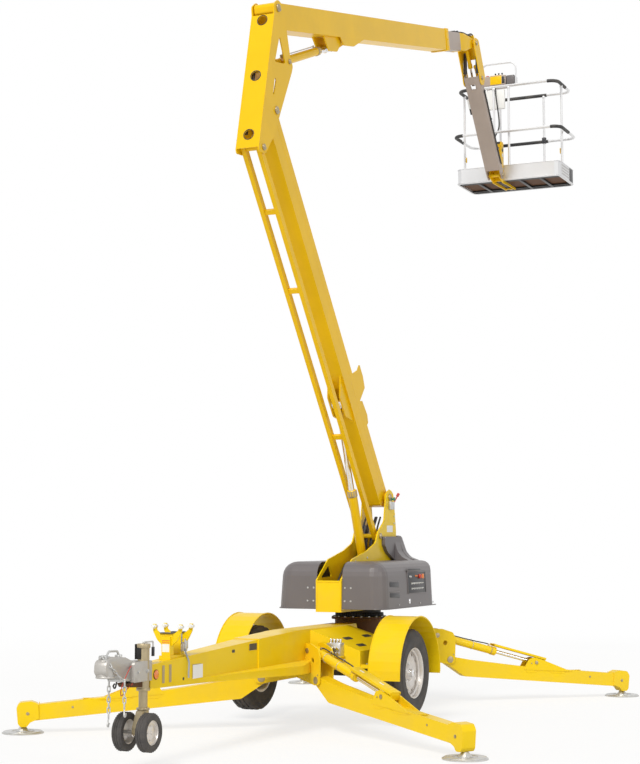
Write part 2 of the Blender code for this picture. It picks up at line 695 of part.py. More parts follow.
def turret_frame():
    side = [(TURRET_FRONT, TURRET_FLOOR + 0.012), (TURRET_FRONT, 1.175), (0.43, 1.35), (0.10, 1.42),
            (-0.10, 1.49, 0.05), (-0.15, 1.585, 0.03), (-0.30, 1.68, 0.06), (-0.345, 1.92, 0.05), (-0.43, 1.99, 0.08), (-0.525, 1.93, 0.06), (-0.585, 1.60),
            (TURRET_REAR, TURRET_FLOOR + 0.012)]
    shapes = pair(side, PLATE_SHEET, PLATE_OUT - PLATE_SHEET / 2)
    inside = PLATE_OUT - 0.004
    shapes += [
        box((TURRET_REAR, TURRET_FRONT), (-PLATE_OUT, PLATE_OUT), (TURRET_FLOOR + SEAT, TURRET_FLOOR + 0.02)),
        box((TURRET_FRONT - 0.01, TURRET_FRONT), (-inside, inside), (TURRET_FLOOR + 0.01, 1.17)),
        box((TURRET_REAR, TURRET_REAR + 0.012), (-inside, inside), (TURRET_FLOOR + 0.01, 1.30)),
        bar(BEARING_RADIUS + 0.004, (0, 0, TURRET_FLOOR + SEAT), (0, 0, TURRET_FLOOR + 0.018), 24),
        *collars(0.043, *BOOM_FOOT, BOOM_HALF + 0.0015, PLATE_IN + 0.003),
        cross_bar(BOOM_PIN, *BOOM_FOOT, PLATE_OUT + 0.008),
        cross_bar(LINK_PIN, BOOM_FOOT[0] + LINK_OFFSET[0], BOOM_FOOT[1] + LINK_OFFSET[1], PLATE_OUT + 0.006),
        cross_bar(0.025 * 0.72, *LIFT_BASE, PLATE_OUT - 0.002),
    ]
    window = plate([(0.36, 1.20, 0.01), (0.60, 1.19, 0.01), (0.42, 1.30, 0.01)], 0.5)
    solid("turret_frame", TURRET, YELLOW, shapes, [window])


def cover(side, name):
    """Moulded side cover: open towards the frame and below, round at its top and ends."""
    inner = PLATE_OUT + SEAT
    work = bmesh.new()
    bmesh.ops.create_cube(work, size=1.0)
    front, rear = 0.64, TURRET_REAR
    for vert in work.verts:
        low = vert.co.z < 0
        x = front if vert.co.x > 0 else rear
        y = COVER_HALF if vert.co.y > 0 else inner
        if low and vert.co.x > 0:
            x += 0.02
        if low and vert.co.y > 0:
            y += 0.02
        vert.co = (x, y, COVER_LOW if low else COVER_TOP)
    curved = [edge for edge in work.edges
              if all(vert.co.y > inner + 0.1 for vert in edge.verts)
              and not all(vert.co.z < COVER_LOW + 0.1 for vert in edge.verts)
              or all(vert.co.z > COVER_TOP - 0.1 for vert in edge.verts)
              and all(vert.co.x > 0 for vert in edge.verts)]
    bmesh.ops.bevel(work, geom=curved, offset=0.12, segments=5, affect="EDGES", profile=0.5, clamp_overlap=True)
    open_faces = [face for face in work.faces
                  if all(vert.co.y < inner + 1e-4 for vert in face.verts)
                  or all(vert.co.z < COVER_LOW + 1e-4 for vert in face.verts)]
    bmesh.ops.delete(work, geom=open_faces, context="FACES")
    bmesh.ops.recalc_face_normals(work, faces=work.faces)
    centre = Vector((0, inner, COVER_LOW))
    outward = sum((face.normal.dot(face.calc_center_median() - centre) * face.calc_area()) for face in work.faces)
    if outward < 0:
        bmesh.ops.reverse_faces(work, faces=work.faces)
    mesh = bpy.data.meshes.new("cover")
    work.to_mesh(mesh)
    work.free()
    shell = piece(mesh)
    wall = shell.modifiers.new("wall", "SOLIDIFY")
    wall.thickness = COVER_SHEET
    wall.offset = -1.0
    wall.use_even_offset = True
    bpy.context.view_layer.update()
    depsgraph = bpy.context.evaluated_depsgraph_get()
    thick = piece(bpy.data.meshes.new_from_object(shell.evaluated_get(depsgraph), depsgraph=depsgraph))
    bpy.data.objects.remove(shell)
    if side < 0:
        other = mirrored([thick])[0]
        bpy.data.objects.remove(thick)
        thick = other
    solid(name, TURRET, COVER_GREY, [thick])


def hood():
    """Rear hood: a bell between the covers whose cheeks wrap the mast plates above them."""
    top = COVER_TOP + SEAT
    back = TURRET_REAR - 0.02
    half = [(0.13, 1.555, 0.03), (0.150, 1.50, 0.03), (0.182, 1.41, 0.05), (0.225, 1.36, 0.05), (0.30, 1.333, 0.02),
            (0.375, 1.29, 0.04), (0.385, COVER_LOW)]
    bell = [*half, *((-y, z, *soft) for y, z, *soft in reversed(half))]
    depth = 0.085
    inner = PLATE_OUT + SEAT
    cheek = [(-0.235, 1.545, 0.015), (-0.235, 1.47, 0.02), (-0.30, 1.405, 0.03), (-0.47, top), (back, top), (back, 1.545)]
    flare = [(inner, top), (0.285, top), (0.222, 1.36, 0.04), (0.178, 1.41, 0.04), (0.150, 1.50), (inner, 1.50)]
    shapes = [plate(bell, depth, TURRET_REAR - SEAT - depth / 2, "yz")]
    shapes += pair(cheek, 0.034, inner + 0.017)
    run = 0.15
    for way in (-1, 1):
        corners = [(way * y, z, *soft) for y, z, *soft in flare]
        shapes.append(plate(corners, run, back + run / 2, "yz"))
    solid("rear_hood", TURRET, COVER_GREY, shapes)


def lower_boom():
    lugs = [(0.93, -0.14), (1.07, -0.27, 0.03), (1.27, -0.27, 0.03), (1.42, -0.14)]
    saddle = [(1.00, 0.04), (1.04, 0.235, 0.01), (1.14, 0.262, 0.01), (1.27, 0.262, 0.01), (1.25, 0.20, 0.02),
              (1.30, 0.04)]
    stop = [(0.72, 0.04), (0.73, 0.14, 0.01), (0.80, 0.165, 0.01), (0.96, 0.145, 0.01), (1.02, 0.04)]
    shapes = [plate([
        (-0.065, BOOM_BACK, 0.03), (BOOM_REACH + 0.06, BOOM_BACK, 0.03), (BOOM_REACH + 0.07, -0.06, 0.05),
        (BOOM_REACH - 0.02, BOOM_FACE, 0.03), (0.02, BOOM_FACE, 0.03), (-0.07, -0.06, 0.05)], 2 * BOOM_HALF)]
    shapes += pair(lugs, 0.012, 0.050 + 0.006)
    shapes += pair(saddle, 0.010, 0.060)
    shapes += pair(stop, 0.010, 0.045)
    solid("lower_boom", BOOM, YELLOW, shapes, [
        box((1.05, 1.28), (-0.0495, 0.0495), (BOOM_FACE - 0.02, BOOM_FACE + 0.031)),
        cross_bar(BOOM_PIN + PIN_FIT, 0, 0, 0.2),
        cross_bar(BOOM_PIN + PIN_FIT, BOOM_REACH, 0, 0.2),
    ])


def tie_link():
    middle = (LINK_IN + LINK_OUT) / 2
    width = LINK_OUT - LINK_IN
    half = LINK_HALF
    side = [(-0.035, half, 0.02), (BOOM_REACH + 0.035, half, 0.02), (BOOM_REACH + 0.035, -half, 0.02),
            (-0.035, -half, 0.02)]
    shapes = pair(side, width, middle)
    for place in (1.08, 2.54, 3.27):
        shapes.append(box((place - 0.02, place + 0.02), (-LINK_IN - 0.004, LINK_IN + 0.004), (-0.015, 0.015)))
    solid("tie_link", LINK, YELLOW, shapes, [
        cross_bar(LINK_PIN + PIN_FIT, 0, 0, 0.2),
        cross_bar(LINK_PIN + PIN_FIT, BOOM_REACH, 0, 0.2),
    ])


def riser():
    front_low = (0.314, -0.366)
    front_top = (0.044, 0.789)
    side = [(0.19, -0.392, 0.03), (0.305, -0.40, 0.02), front_low, front_top, (0.055, 0.86, 0.03),
            (-0.02, 0.918, 0.05), (-0.10, 0.90, 0.04), (-0.185, 0.713), (-0.255, 0.505, 0.03), (-0.305, 0.44, 0.03),
            (-0.285, 0.385, 0.02), (-0.065, -0.02, 0.03), (-0.03, -0.09, 0.03), (0.02, -0.19, 0.03)]
    triangle = rounded([((-0.055, 0.63), 0.01), ((0.030, 0.39), 0.01), ((-0.165, 0.425), 0.01)])
    slot = rounded([((0.00, 0.255), 0.012), ((0.030, 0.262), 0.012), ((0.062, 0.12), 0.008), ((0.045, 0.115), 0.008)])
    shapes = pair(side, RISER_SHEET, RISER_HALF - RISER_SHEET / 2, holes=[triangle, slot])
    lean = atan2(front_low[0] - front_top[0], front_top[1] - front_low[1])
    length = hypot(front_low[0] - front_top[0], front_top[1] - front_low[1])
    across = RISER_HALF - 0.004
    front = plate([(-across, 0.004), (across, 0.004), (across, length - 0.004), (-across, length - 0.004)], RISER_SHEET,
                  -RISER_SHEET / 2 - 0.0005, "yz",
                  holes=[circle(0, length * share, 0.043, 14) for share in (0.10, 0.535, 0.955)])
    placed(front, Matrix.Translation((front_low[0], 0, front_low[1])) @ Matrix.Rotation(-lean, 4, "Y"))
    shapes.append(front)
    q = LINK_OFFSET
    shapes += [
        *collars(0.043, 0, 0, BOOM_HALF + 0.0015, RISER_IN + 0.003),
        cross_bar(BOOM_PIN, 0, 0, RISER_HALF + 0.008),
        cross_bar(LINK_PIN, *q, RISER_HALF + 0.006),
        cross_bar(BOOM_PIN, *UPPER_PIN, RISER_HALF + 0.008),
        cross_bar(0.022 * 0.72, *UPPER_BASE, RISER_HALF + 0.004),
    ]
    solid("riser", RISER, YELLOW, shapes)


def upper_boom():
    mouth = UPPER_LENGTH
    shapes = [plate([
        (-0.035, UPPER_LOW + 0.12, 0.02), (0.10, UPPER_LOW, 0.03), (mouth, UPPER_LOW), (mouth, UPPER_TOP),
        (-0.055, UPPER_TOP, 0.03), (-0.055, -0.03, 0.02)], 2 * UPPER_HALF)]
    shapes += pair([(0.98, UPPER_LOW + 0.004), (1.07, -0.295, 0.03), (1.25, -0.295, 0.03), (1.42, UPPER_LOW + 0.004)],
                   0.012, 0.046 + 0.006)
    shapes += pair([(1.28, UPPER_LOW + 0.004), (1.36, -0.24, 0.01), (1.58, -0.24, 0.01), (1.84, UPPER_LOW + 0.004)],
                   0.010, UPPER_HALF - 0.0058)
    cavity = box((0.30, mouth + 0.1), (-UPPER_HALF + UPPER_WALL, UPPER_HALF - UPPER_WALL),
                 (UPPER_LOW + UPPER_WALL, UPPER_TOP - UPPER_WALL))
    solid("upper_boom", UPPER, YELLOW, shapes, [cavity, cross_bar(BOOM_PIN + PIN_FIT, 0, 0, 0.2)])


def inner_boom():
    half = UPPER_HALF - UPPER_WALL - INNER_CLEAR
    top = UPPER_TOP - UPPER_WALL - INNER_CLEAR
    low = UPPER_LOW + UPPER_WALL + INNER_CLEAR
    tube_body = box((INNER_START, INNER_END), (-half, half), (low, top))
    pad = INNER_CLEAR - PIN_FIT
    pads = [
        box((INNER_START + 0.02, INNER_START + 0.14), (-half - pad, half + pad), (low - pad, low + 0.02)),
        box((INNER_START + 0.02, INNER_START + 0.14), (-half - pad, half + pad), (top - 0.02, top + pad)),
    ]
    centre = (UPPER_TOP + UPPER_LOW) / 2
    nose = [(INNER_END - 0.02, low + 0.01), (INNER_END + 0.10, low + 0.01), (TIP_REACH + 0.02, centre - 0.038, 0.035),
            (TIP_REACH + 0.045, centre, 0.03), (TIP_REACH + 0.02, centre + 0.038, 0.035), (INNER_END + 0.10, top - 0.01),
            (INNER_END - 0.02, top - 0.01)]
    shapes = [tube_body, *pads, *pair(nose, 0.012, half - 0.012)]
    bore = box((INNER_START - 0.1, INNER_END - 0.012), (-half + 0.006, half - 0.006), (low + 0.006, top - 0.006))
    solid("inner_boom", INNER, JIB_GREY, shapes, [bore, cross_bar(0.020 + PIN_FIT, TIP_REACH, centre, 0.2)])


def knuckle():
    fx, fz = JIB_FOOT
    side = [(0.05, 0.05, 0.05), (-0.075, 0.055, 0.05), (-0.285, -0.29, 0.04), (-0.250, -0.40, 0.05),
            (-0.150, -0.42, 0.05), (-0.110, -0.32, 0.03), (0.072, -0.03, 0.05)]
    shapes = pair(side, KNUCKLE_SHEET, KNUCKLE_HALF - KNUCKLE_SHEET / 2)
    web = hull([(x, y, z) for y in (-KNUCKLE_HALF + 0.003, KNUCKLE_HALF - 0.003)
                for x, z in ((-0.0635, 0.040), (-0.0577, 0.040), (-0.1815, -0.1267), (-0.1757, -0.1267))])
    base = (fx + JIB_BASE_REACH * cos(JIB_BASE_ANGLE), fz + JIB_BASE_REACH * sin(JIB_BASE_ANGLE))
    level = (fx + LEVEL_OFFSET[0], fz + LEVEL_OFFSET[1])
    shapes += [
        web,
        cross_bar(0.020, 0, 0, KNUCKLE_HALF + 0.006),
        cross_bar(JIB_PIN, fx, fz, KNUCKLE_HALF + 0.006),
        bar(0.011 * 0.72, (base[0], -KNUCKLE_HALF, base[1]), (base[0], -0.001, base[1]), 12),
        bar(0.012, (level[0], 0.010, level[1]), (level[0], KNUCKLE_HALF, level[1]), 12),
    ]
    solid("knuckle", KNUCKLE, YELLOW, shapes)


def jib():
    depth = JIB_DEPTH
    end = JIB_REACH
    side = [(-0.045, -depth - 0.006, 0.02), (-0.05, 0.045, 0.03), (0.0, depth, 0.03), (end - 0.05, depth, 0.01),
            (end + 0.045, 0.035, 0.03), (end + 0.045, -0.035, 0.03), (end - 0.06, -depth - 0.006, 0.01)]
    shapes = pair(side, JIB_SHEET, JIB_HALF - JIB_SHEET / 2)
    shapes.append(box((-0.042, end - 0.09), (-JIB_HALF + 0.003, JIB_HALF - 0.003), (-depth - 0.006, -depth + 0.002)))
    window = box((0.045, 0.10), (-0.028, 0.028), (-0.1, 0.0))
    solid("jib", JIB, JIB_GREY, shapes, [
        window,
        cross_bar(JIB_PIN + PIN_FIT, 0, 0, 0.2),
        cross_bar(JIB_PIN + PIN_FIT, end, 0, 0.2),
    ])


def jib_cylinder():
    """Short cylinder inside the knuckle; its barrel is fixed and its rod's eye follows the jib's crank."""
    fx, fz = JIB_FOOT
    base = (fx + JIB_BASE_REACH * cos(JIB_BASE_ANGLE), fz + JIB_BASE_REACH * sin(JIB_BASE_ANGLE))
    crank = (fx + JIB_CRANK * cos(JIB_CRANK_ANGLE), fz + JIB_CRANK * sin(JIB_CRANK_ANGLE))
    return cylinder("jib", KNUCKLE, base, crank, 0.021, 0.011, 0.221, 0.144, side=JIB_CYLINDER_SIDE, eye_half=0.016)


def level_link():
    """Levelling link: a yellow rod in parallel with the jib."""
    reach = JIB_REACH
    shapes = [
        bar(0.016, (0.02, 0, 0), (reach - 0.30, 0, 0), 12),
        bar(0.011, (reach - 0.31, 0, 0), (reach - 0.02, 0, 0), 12),
        cross_bar(0.022, 0, 0, 0.014, sides=12),
        cross_bar(0.022, reach, 0, 0.014, sides=12),
    ]
    solid("level_link", LEVEL, YELLOW, shapes, [
        cross_bar(0.0125, 0, 0, 0.1, sides=12),
        cross_bar(0.0125, reach, 0, 0.1, sides=12),
    ])


def platform():
    """Work platform, measured from the jib's end pin: support, tray, rails and controls."""
    near = -FLOOR_GAP
    far = near - PLATFORM_DEPTH
    low = FLOOR_LOW
    under = low - SEAT
    mast = [(0.03, -0.03, 0.02), (0.035, 0.06, 0.02), (0.035, 0.155, 0.03), (-0.03, 0.40, 0.02), (near + 0.012, 0.40),
            (near + 0.012, under), (near - 0.45, under), (near - 0.45, under - 0.022), (near + 0.03, under - 0.035, 0.02)]
    support_in = 0.050
    shapes = pair(mast, 0.009, support_in + 0.0045)
    shapes += [
        box((near + 0.001, near + 0.016), (-support_in - 0.004, support_in + 0.004), (under - 0.010, 0.38)),
        box((near - 0.43, near - 0.41), (-support_in - 0.004, support_in + 0.004), (under - 0.018, under - 0.004)),
        cross_bar(JIB_PIN, 0, 0, JIB_HALF + 0.010),
        bar(0.012, (LEVEL_OFFSET[0], 0.010, LEVEL_OFFSET[1]), (LEVEL_OFFSET[0], support_in + 0.006, LEVEL_OFFSET[1]), 12),
    ]
    solid("platform_support", PLATFORM, YELLOW, shapes)

    sheet = 0.004
    left, right = PLATFORM_MIDDLE - PLATFORM_HALF, PLATFORM_MIDDLE + PLATFORM_HALF

    def inside(gap, soft):
        return [(near - gap, left + gap, soft), (near - gap, right - gap, soft), (far + gap, right - gap, soft),
                (far + gap, left + gap, soft)]

    tray = plate(inside(0.0, 0.06), TOE_BOARD, low + TOE_BOARD / 2, "xy")
    hollow = plate(inside(sheet, 0.056), TOE_BOARD, low + 0.030 + TOE_BOARD / 2, "xy")
    beneath = plate(inside(0.02, 0.04), 0.05, low - 0.001, "xy")
    solid("platform_tray", PLATFORM, ALUMINIUM, [tray], [hollow, beneath])
    ribs = [box((far + 0.02 + SEAT, near - 0.02 - SEAT), (y - 0.015, y + 0.015), (low, low + 0.024 - SEAT))
            for y in (PLATFORM_MIDDLE + PLATFORM_HALF * share for share in (-0.60, -0.20, 0.20, 0.60))]
    cross = [box((x - 0.015, x + 0.015), (left + 0.0205, right - 0.0205), (low + 0.004, low + 0.022))
             for x in (near - 0.10, far + 0.10)]
    solid("floor_bearers", PLATFORM, BLACK, [*cross, *ribs])

    rails(near, far, low)


def rails(near, far, low):
    edge = RAIL_TUBE + 0.012
    middle = PLATFORM_MIDDLE
    shapes = []
    for height, outward in ((RAIL_TOP, -0.023), (RAIL_MID, 0.020)):
        y = PLATFORM_HALF + outward
        x_near, x_far = near + outward, far - outward
        corners = [((x_near, middle + y, low + height), 0.10), ((x_far, middle + y, low + height), 0.10),
                   ((x_far, middle - y, low + height), 0.10), ((x_near, middle - y, low + height), 0.10)]
        shapes.append(tube(corners, RAIL_TUBE, closed=True, resolution=1))
    half = PLATFORM_HALF - edge
    x_near, x_far, x_side = near - edge, far + edge, near - 0.36 * PLATFORM_DEPTH
    feet = [(x_near, middle + 0.03 * PLATFORM_HALF), (x_near, middle - 0.26 * PLATFORM_HALF),
            (x_far, middle - 0.435 * PLATFORM_HALF), (x_far, middle + 0.435 * PLATFORM_HALF),
            (x_side, middle - half), (x_side, middle + half)]
    for x, y in feet:
        shapes.append(bar(RAIL_TUBE * 0.9, (x, y, low + 0.0306 + SEAT), (x, y, low + RAIL_TOP), 8))
        out = (0.0, (edge + 0.020) * (1 if y > middle else -1)) if x == x_side else (
            (edge + 0.020) * (1 if x == x_near else -1), 0.0)
        shapes.append(bar(0.009, (x, y, low + RAIL_MID), (x + out[0], y + out[1], low + RAIL_MID), 8))
    hoop_top = low + RAIL_TOP + 0.27
    x_top = near - 0.023
    hoop = [((x_top, middle - 0.31, low + RAIL_TOP), 0), ((x_top, middle - 0.31, hoop_top), 0.08),
            ((x_top, middle + 0.11, hoop_top), 0.08), ((x_top, middle + 0.11, low + RAIL_TOP), 0)]
    shapes.append(tube(hoop, 0.010, resolution=1))
    solid("platform_rails", PLATFORM, GALVANIZED, shapes)
    top = low + RAIL_TOP + RAIL_TUBE * cos(radians(30)) + SEAT
    solid("control_console", PLATFORM, JIB_GREY, [
        box((x_top - 0.17, x_top + 0.010), (middle - 0.295, middle - 0.01), (top, top + 0.12), bevel=0.012),
    ])


def build():
    chassis()
    axle()
    for side, name in ((1, "left"), (-1, "right")):
        fender(side, f"fender_{name}")
        wheel(side, name)
    coupler()
    jack()
    boom_rest()
    slew_bearing()
    for name, x, y, turn in HINGES:
        outrigger(name, x, y, turn)
    turret_frame()
    cover(1, "cover_left")
    cover(-1, "cover_right")
    hood()
    lower_boom()
    eye = along_boom(*LIFT_EYE)
    cylinder("lift", TURRET, LIFT_BASE, eye, 0.040, 0.025, 1.045, 0.765, eye_half=0.0475)
    tie_link()
    riser()
    upper_boom()
    upper_eye = along_upper(*UPPER_EYE)
    rear_facing = pivot("riser_rear", RISER, (0, 0, 0), turn=pi)
    cylinder("upper", rear_facing, (-UPPER_BASE[0], UPPER_BASE[1]), (-upper_eye[0], upper_eye[1]), 0.036, 0.022, 0.85, 0.12, eye_half=0.0435)
    inner_boom()
    knuckle()
    jib()
    jib_cylinder()
    level_link()
    platform()


def along_boom(s, n):
    """Point on the lower boom at rest, (x, z) from the slewing axis on the ground."""
    return (BOOM_FOOT[0] + s * cos(BOOM_REST) - n * sin(BOOM_REST),
            BOOM_FOOT[1] + s * sin(BOOM_REST) + n * cos(BOOM_REST))


def along_upper(u, v):
    """Point on the upper boom at rest, (x, z) from the lower boom's head pin."""
    return (UPPER_PIN[0] - u * cos(UPPER_REST) + v * sin(UPPER_REST),
            UPPER_PIN[1] + u * sin(UPPER_REST) + v * cos(UPPER_REST))


TURRET = pivot("slew_axis", MACHINE, (0, 0, 0))
BOOM = pivot("lower_boom_axis", TURRET, (BOOM_FOOT[0], 0, BOOM_FOOT[1]), lift=BOOM_REST)
LINK = pivot("tie_link_axis", TURRET, (BOOM_FOOT[0] + LINK_OFFSET[0], 0, BOOM_FOOT[1] + LINK_OFFSET[1]), lift=BOOM_REST)
RISER = pivot("riser_axis", BOOM, (BOOM_REACH, 0, 0), lift=-BOOM_REST)
UPPER = pivot("upper_boom_axis", RISER, (UPPER_PIN[0], 0, UPPER_PIN[1]), turn=pi, lift=UPPER_REST)
INNER = pivot("extend_axis", UPPER, (0, 0, 0))
KNUCKLE = pivot("knuckle_axis", INNER, (TIP_REACH, 0, (UPPER_TOP + UPPER_LOW) / 2), lift=0)
KNUCKLE.matrix_local = (
    Matrix.Translation((TIP_REACH, 0, (UPPER_TOP + UPPER_LOW) / 2))
    @ Matrix.Rotation(UPPER_REST, 4, "Y")
    @ Matrix.Rotation(pi, 4, "Z")
)
JIB = pivot("jib_axis", KNUCKLE, (JIB_FOOT[0], 0, JIB_FOOT[1]), turn=pi, lift=JIB_REST)
LEVEL = pivot("level_link_axis", KNUCKLE,
              (JIB_FOOT[0] + LEVEL_OFFSET[0], LEVEL_SIDE, JIB_FOOT[1] + LEVEL_OFFSET[1]), turn=pi, lift=JIB_REST)
PLATFORM = pivot("platform_axis", JIB, (JIB_REACH, 0, 0))
PLATFORM.matrix_local = (
    Matrix.Translation((JIB_REACH, 0, 0)) @ Matrix.Rotation(JIB_REST, 4, "Y") @ Matrix.Rotation(pi, 4, "Z")
)

build()
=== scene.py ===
"""Towable articulating boom lift on its four outriggers: materials, fittings, light and camera."""

import json
from math import atan2, ceil, cos, hypot, pi, radians, sin, tan

import bmesh
import bpy
from mathutils import Matrix, Vector


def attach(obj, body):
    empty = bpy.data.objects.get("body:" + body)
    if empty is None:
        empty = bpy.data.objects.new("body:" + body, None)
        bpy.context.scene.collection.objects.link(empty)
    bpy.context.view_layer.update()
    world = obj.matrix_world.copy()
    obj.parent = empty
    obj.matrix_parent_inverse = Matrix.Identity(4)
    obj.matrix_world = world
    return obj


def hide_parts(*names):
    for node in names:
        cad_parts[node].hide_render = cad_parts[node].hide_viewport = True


# Places in metres that the fittings share with the lift's own solids. x runs forward to the drawbar,
# y to the left and z up, from the ground under the slewing axis, which is SLEW_X ahead of the origin.
SLEW_X = 0.215
BOOM_REST = radians(52.4)
UPPER_REST = radians(13.3)
JIB_REST = radians(-51.3)
LEG_TURN = {
    "front_left": radians(56.0),
    "front_right": radians(-56.0),
    "rear_left": radians(135.8),
    "rear_right": radians(-135.8),
}
BOOM_REACH = 3.83
JIB_REACH = 1.186
AXLE = (0.697, 0.426)
FENDER_RADIUS = 0.464
JACK = (3.776, 0.03)
JOCKEY_Z = 0.246
COUPLER_BACK = 3.7253
REST_PEGS = (3.40, 3.25)
FOOT_REACH = 1.885
LEG_PIN_Z = 0.405
ROD_EYE = 1.0819
TIP_REACH = 5.04
TIP_Z = -0.062

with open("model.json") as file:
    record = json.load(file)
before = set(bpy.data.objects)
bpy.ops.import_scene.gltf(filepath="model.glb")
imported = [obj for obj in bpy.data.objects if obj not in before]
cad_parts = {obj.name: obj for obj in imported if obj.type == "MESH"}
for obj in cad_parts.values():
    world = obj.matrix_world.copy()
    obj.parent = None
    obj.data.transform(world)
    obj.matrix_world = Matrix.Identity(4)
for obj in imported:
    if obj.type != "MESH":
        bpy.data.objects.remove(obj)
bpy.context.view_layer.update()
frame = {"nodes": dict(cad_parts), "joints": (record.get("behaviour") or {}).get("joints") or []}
JOINTS = {joint["name"]: joint for joint in frame["joints"]}


def placed(at, angle, axis="Z"):
    """Matrix at a point, turned about one axis."""
    return Matrix.Translation(at) @ Matrix.Rotation(angle, 4, axis)


def joint_frame(name, turn=0.0, lift=0.0):
    """Matrix at a joint with x along `turn` in plan and raised by `lift`."""
    place = Vector(JOINTS[name]["pos_m"])
    return placed(place, turn) @ Matrix.Rotation(-lift, 4, "Y")


def aimed(origin, direction):
    """Matrix at a point with x along a direction and y level."""
    along = Vector(direction).normalized()
    turn = atan2(along.y, along.x)
    lift = atan2(along.z, hypot(along.x, along.y))
    return placed(origin, turn) @ Matrix.Rotation(-lift, 4, "Y")


MACHINE = Matrix.Translation((SLEW_X, 0, 0))
LOWER = joint_frame("lower_boom_raise", lift=BOOM_REST)
RISER = joint_frame("riser_level")
UPPER = joint_frame("upper_boom_raise", turn=pi, lift=UPPER_REST)
KNUCKLE = joint_frame("knuckle_level")
JIB = joint_frame("jib_raise", turn=pi, lift=JIB_REST)
PLATFORM = joint_frame("platform_level")
LEG = {name: joint_frame(f"outrigger_fold_{name}", turn) for name, turn in LEG_TURN.items()}
BARREL = {name: aimed(JOINTS[f"outrigger_barrel_tilt_{name}"]["pos_m"],
                      JOINTS[f"outrigger_rod_slide_{name}"]["axis"]) for name in LEG_TURN}
LIFT_BARREL = aimed(JOINTS["lift_barrel_tilt"]["pos_m"], JOINTS["lift_rod_slide"]["axis"])
UPPER_BARREL = aimed(JOINTS["upper_barrel_tilt"]["pos_m"], JOINTS["upper_rod_slide"]["axis"])
HOME = {"lower_boom": LOWER, "riser": RISER, "upper_boom": UPPER, "inner_boom": UPPER, "knuckle": KNUCKLE,
        "jib": JIB, "platform": PLATFORM}


# Materials

class Value:
    """A shader output that takes part in arithmetic."""

    def __init__(self, look, socket):
        self.look = look
        self.socket = socket

    def maths(self, operation, first, second=0.0):
        return self.look.node("ShaderNodeMath", {"operation": operation}, {0: first, 1: second})

    def __add__(self, other):
        return self.maths("ADD", self, other)

    def __mul__(self, other):
        return self.maths("MULTIPLY", self, other)

    def __sub__(self, other):
        return self.maths("SUBTRACT", self, other)

    def limited(self):
        return self.look.node("ShaderNodeClamp", {}, {0: self})


class Look:
    """A Principled material that is put together from expressions."""

    def __init__(self, name, colour, roughness, metallic=0.0, **plain):
        self.material = bpy.data.materials.new(name)
        self.material.use_nodes = True
        self.tree = self.material.node_tree
        self.shader = self.tree.nodes["Principled BSDF"]
        self.set("Base Color", (*colour, 1.0))
        self.set("Roughness", roughness)
        self.set("Metallic", metallic)
        for key, value in plain.items():
            self.set(key.replace("_", " "), value)
        self.place = self.node("ShaderNodeTexCoord", {}, {}, "Object")

    def set(self, name, value):
        self.join(self.shader.inputs[name], value)

    def join(self, socket, value):
        if isinstance(value, Value):
            self.tree.links.new(value.socket, socket)
        else:
            socket.default_value = value

    def node(self, kind, settings, values, output=0):
        made = self.tree.nodes.new(kind)
        for name, value in settings.items():
            setattr(made, name, value)
        for name, value in values.items():
            self.join(made.inputs[name], value)
        return Value(self, made.outputs[output])

    def noise(self, scale, detail=2.0, roughness=0.5, stretch=(1, 1, 1)):
        place = self.place
        if stretch != (1, 1, 1):
            place = self.node("ShaderNodeMapping", {}, {"Vector": place, "Scale": stretch})
        values = {"Vector": place, "Scale": scale, "Detail": detail, "Roughness": roughness}
        return self.node("ShaderNodeTexNoise", {}, values, "Fac")

    def stepped(self, value, low, high):
        """0 below `low`, 1 above `high`."""
        return self.node("ShaderNodeMapRange", {"interpolation_type": "SMOOTHSTEP"},
                         {"Value": value, "From Min": low, "From Max": high})

    def mixed(self, share, first, second):
        def filled(colour):
            return colour if isinstance(colour, Value) or len(colour) == 4 else (*colour, 1.0)
        return self.node("ShaderNodeMix", {"data_type": "RGBA"},
                         {0: share, 6: filled(first), 7: filled(second)}, 2)

    def split(self, axis):
        return self.node("ShaderNodeSeparateXYZ", {}, {0: self.place}, axis)

    def bump(self, height, distance, strength=1.0):
        self.set("Normal", self.node("ShaderNodeBump", {},
                                     {"Height": height, "Distance": distance, "Strength": strength}))


def tinted(colour, factor, lift=0.0):
    return [min(1.0, c * factor + lift) for c in colour]


def painted(name, colour, roughness=0.32, grime=(0.30, 0.22, 0.12), worn=0.10, coat=0.12):
    """Sprayed paint: faint orange peel, cloudy sheen, road dust towards the ground and small chips."""
    look = Look(name, colour, roughness, Coat_Weight=coat, Coat_Roughness=0.12, Specular_IOR_Level=0.15)
    clouds = look.noise(2.6, 4.0, 0.6)
    height = look.split("Z")
    dust = look.stepped(clouds - height * 0.16, 0.34, 0.62) * worn * 1.6
    chips = look.stepped(look.noise(46.0, 5.0, 0.72), 0.735, 0.775) * 0.55
    tone = look.mixed(look.stepped(clouds, 0.3, 0.7), tinted(colour, 0.955), tinted(colour, 1.03))
    tone = look.mixed(dust.limited(), tone, grime)
    tone = look.mixed(chips * worn * 4.0, tone, (0.16, 0.12, 0.09))
    look.set("Base Color", tone)
    look.set("Roughness", (dust * 0.8 + clouds * 0.10 + (roughness - 0.05)).limited())
    look.bump(look.noise(420.0, 1.0), 0.0004, 0.10)
    return look.material


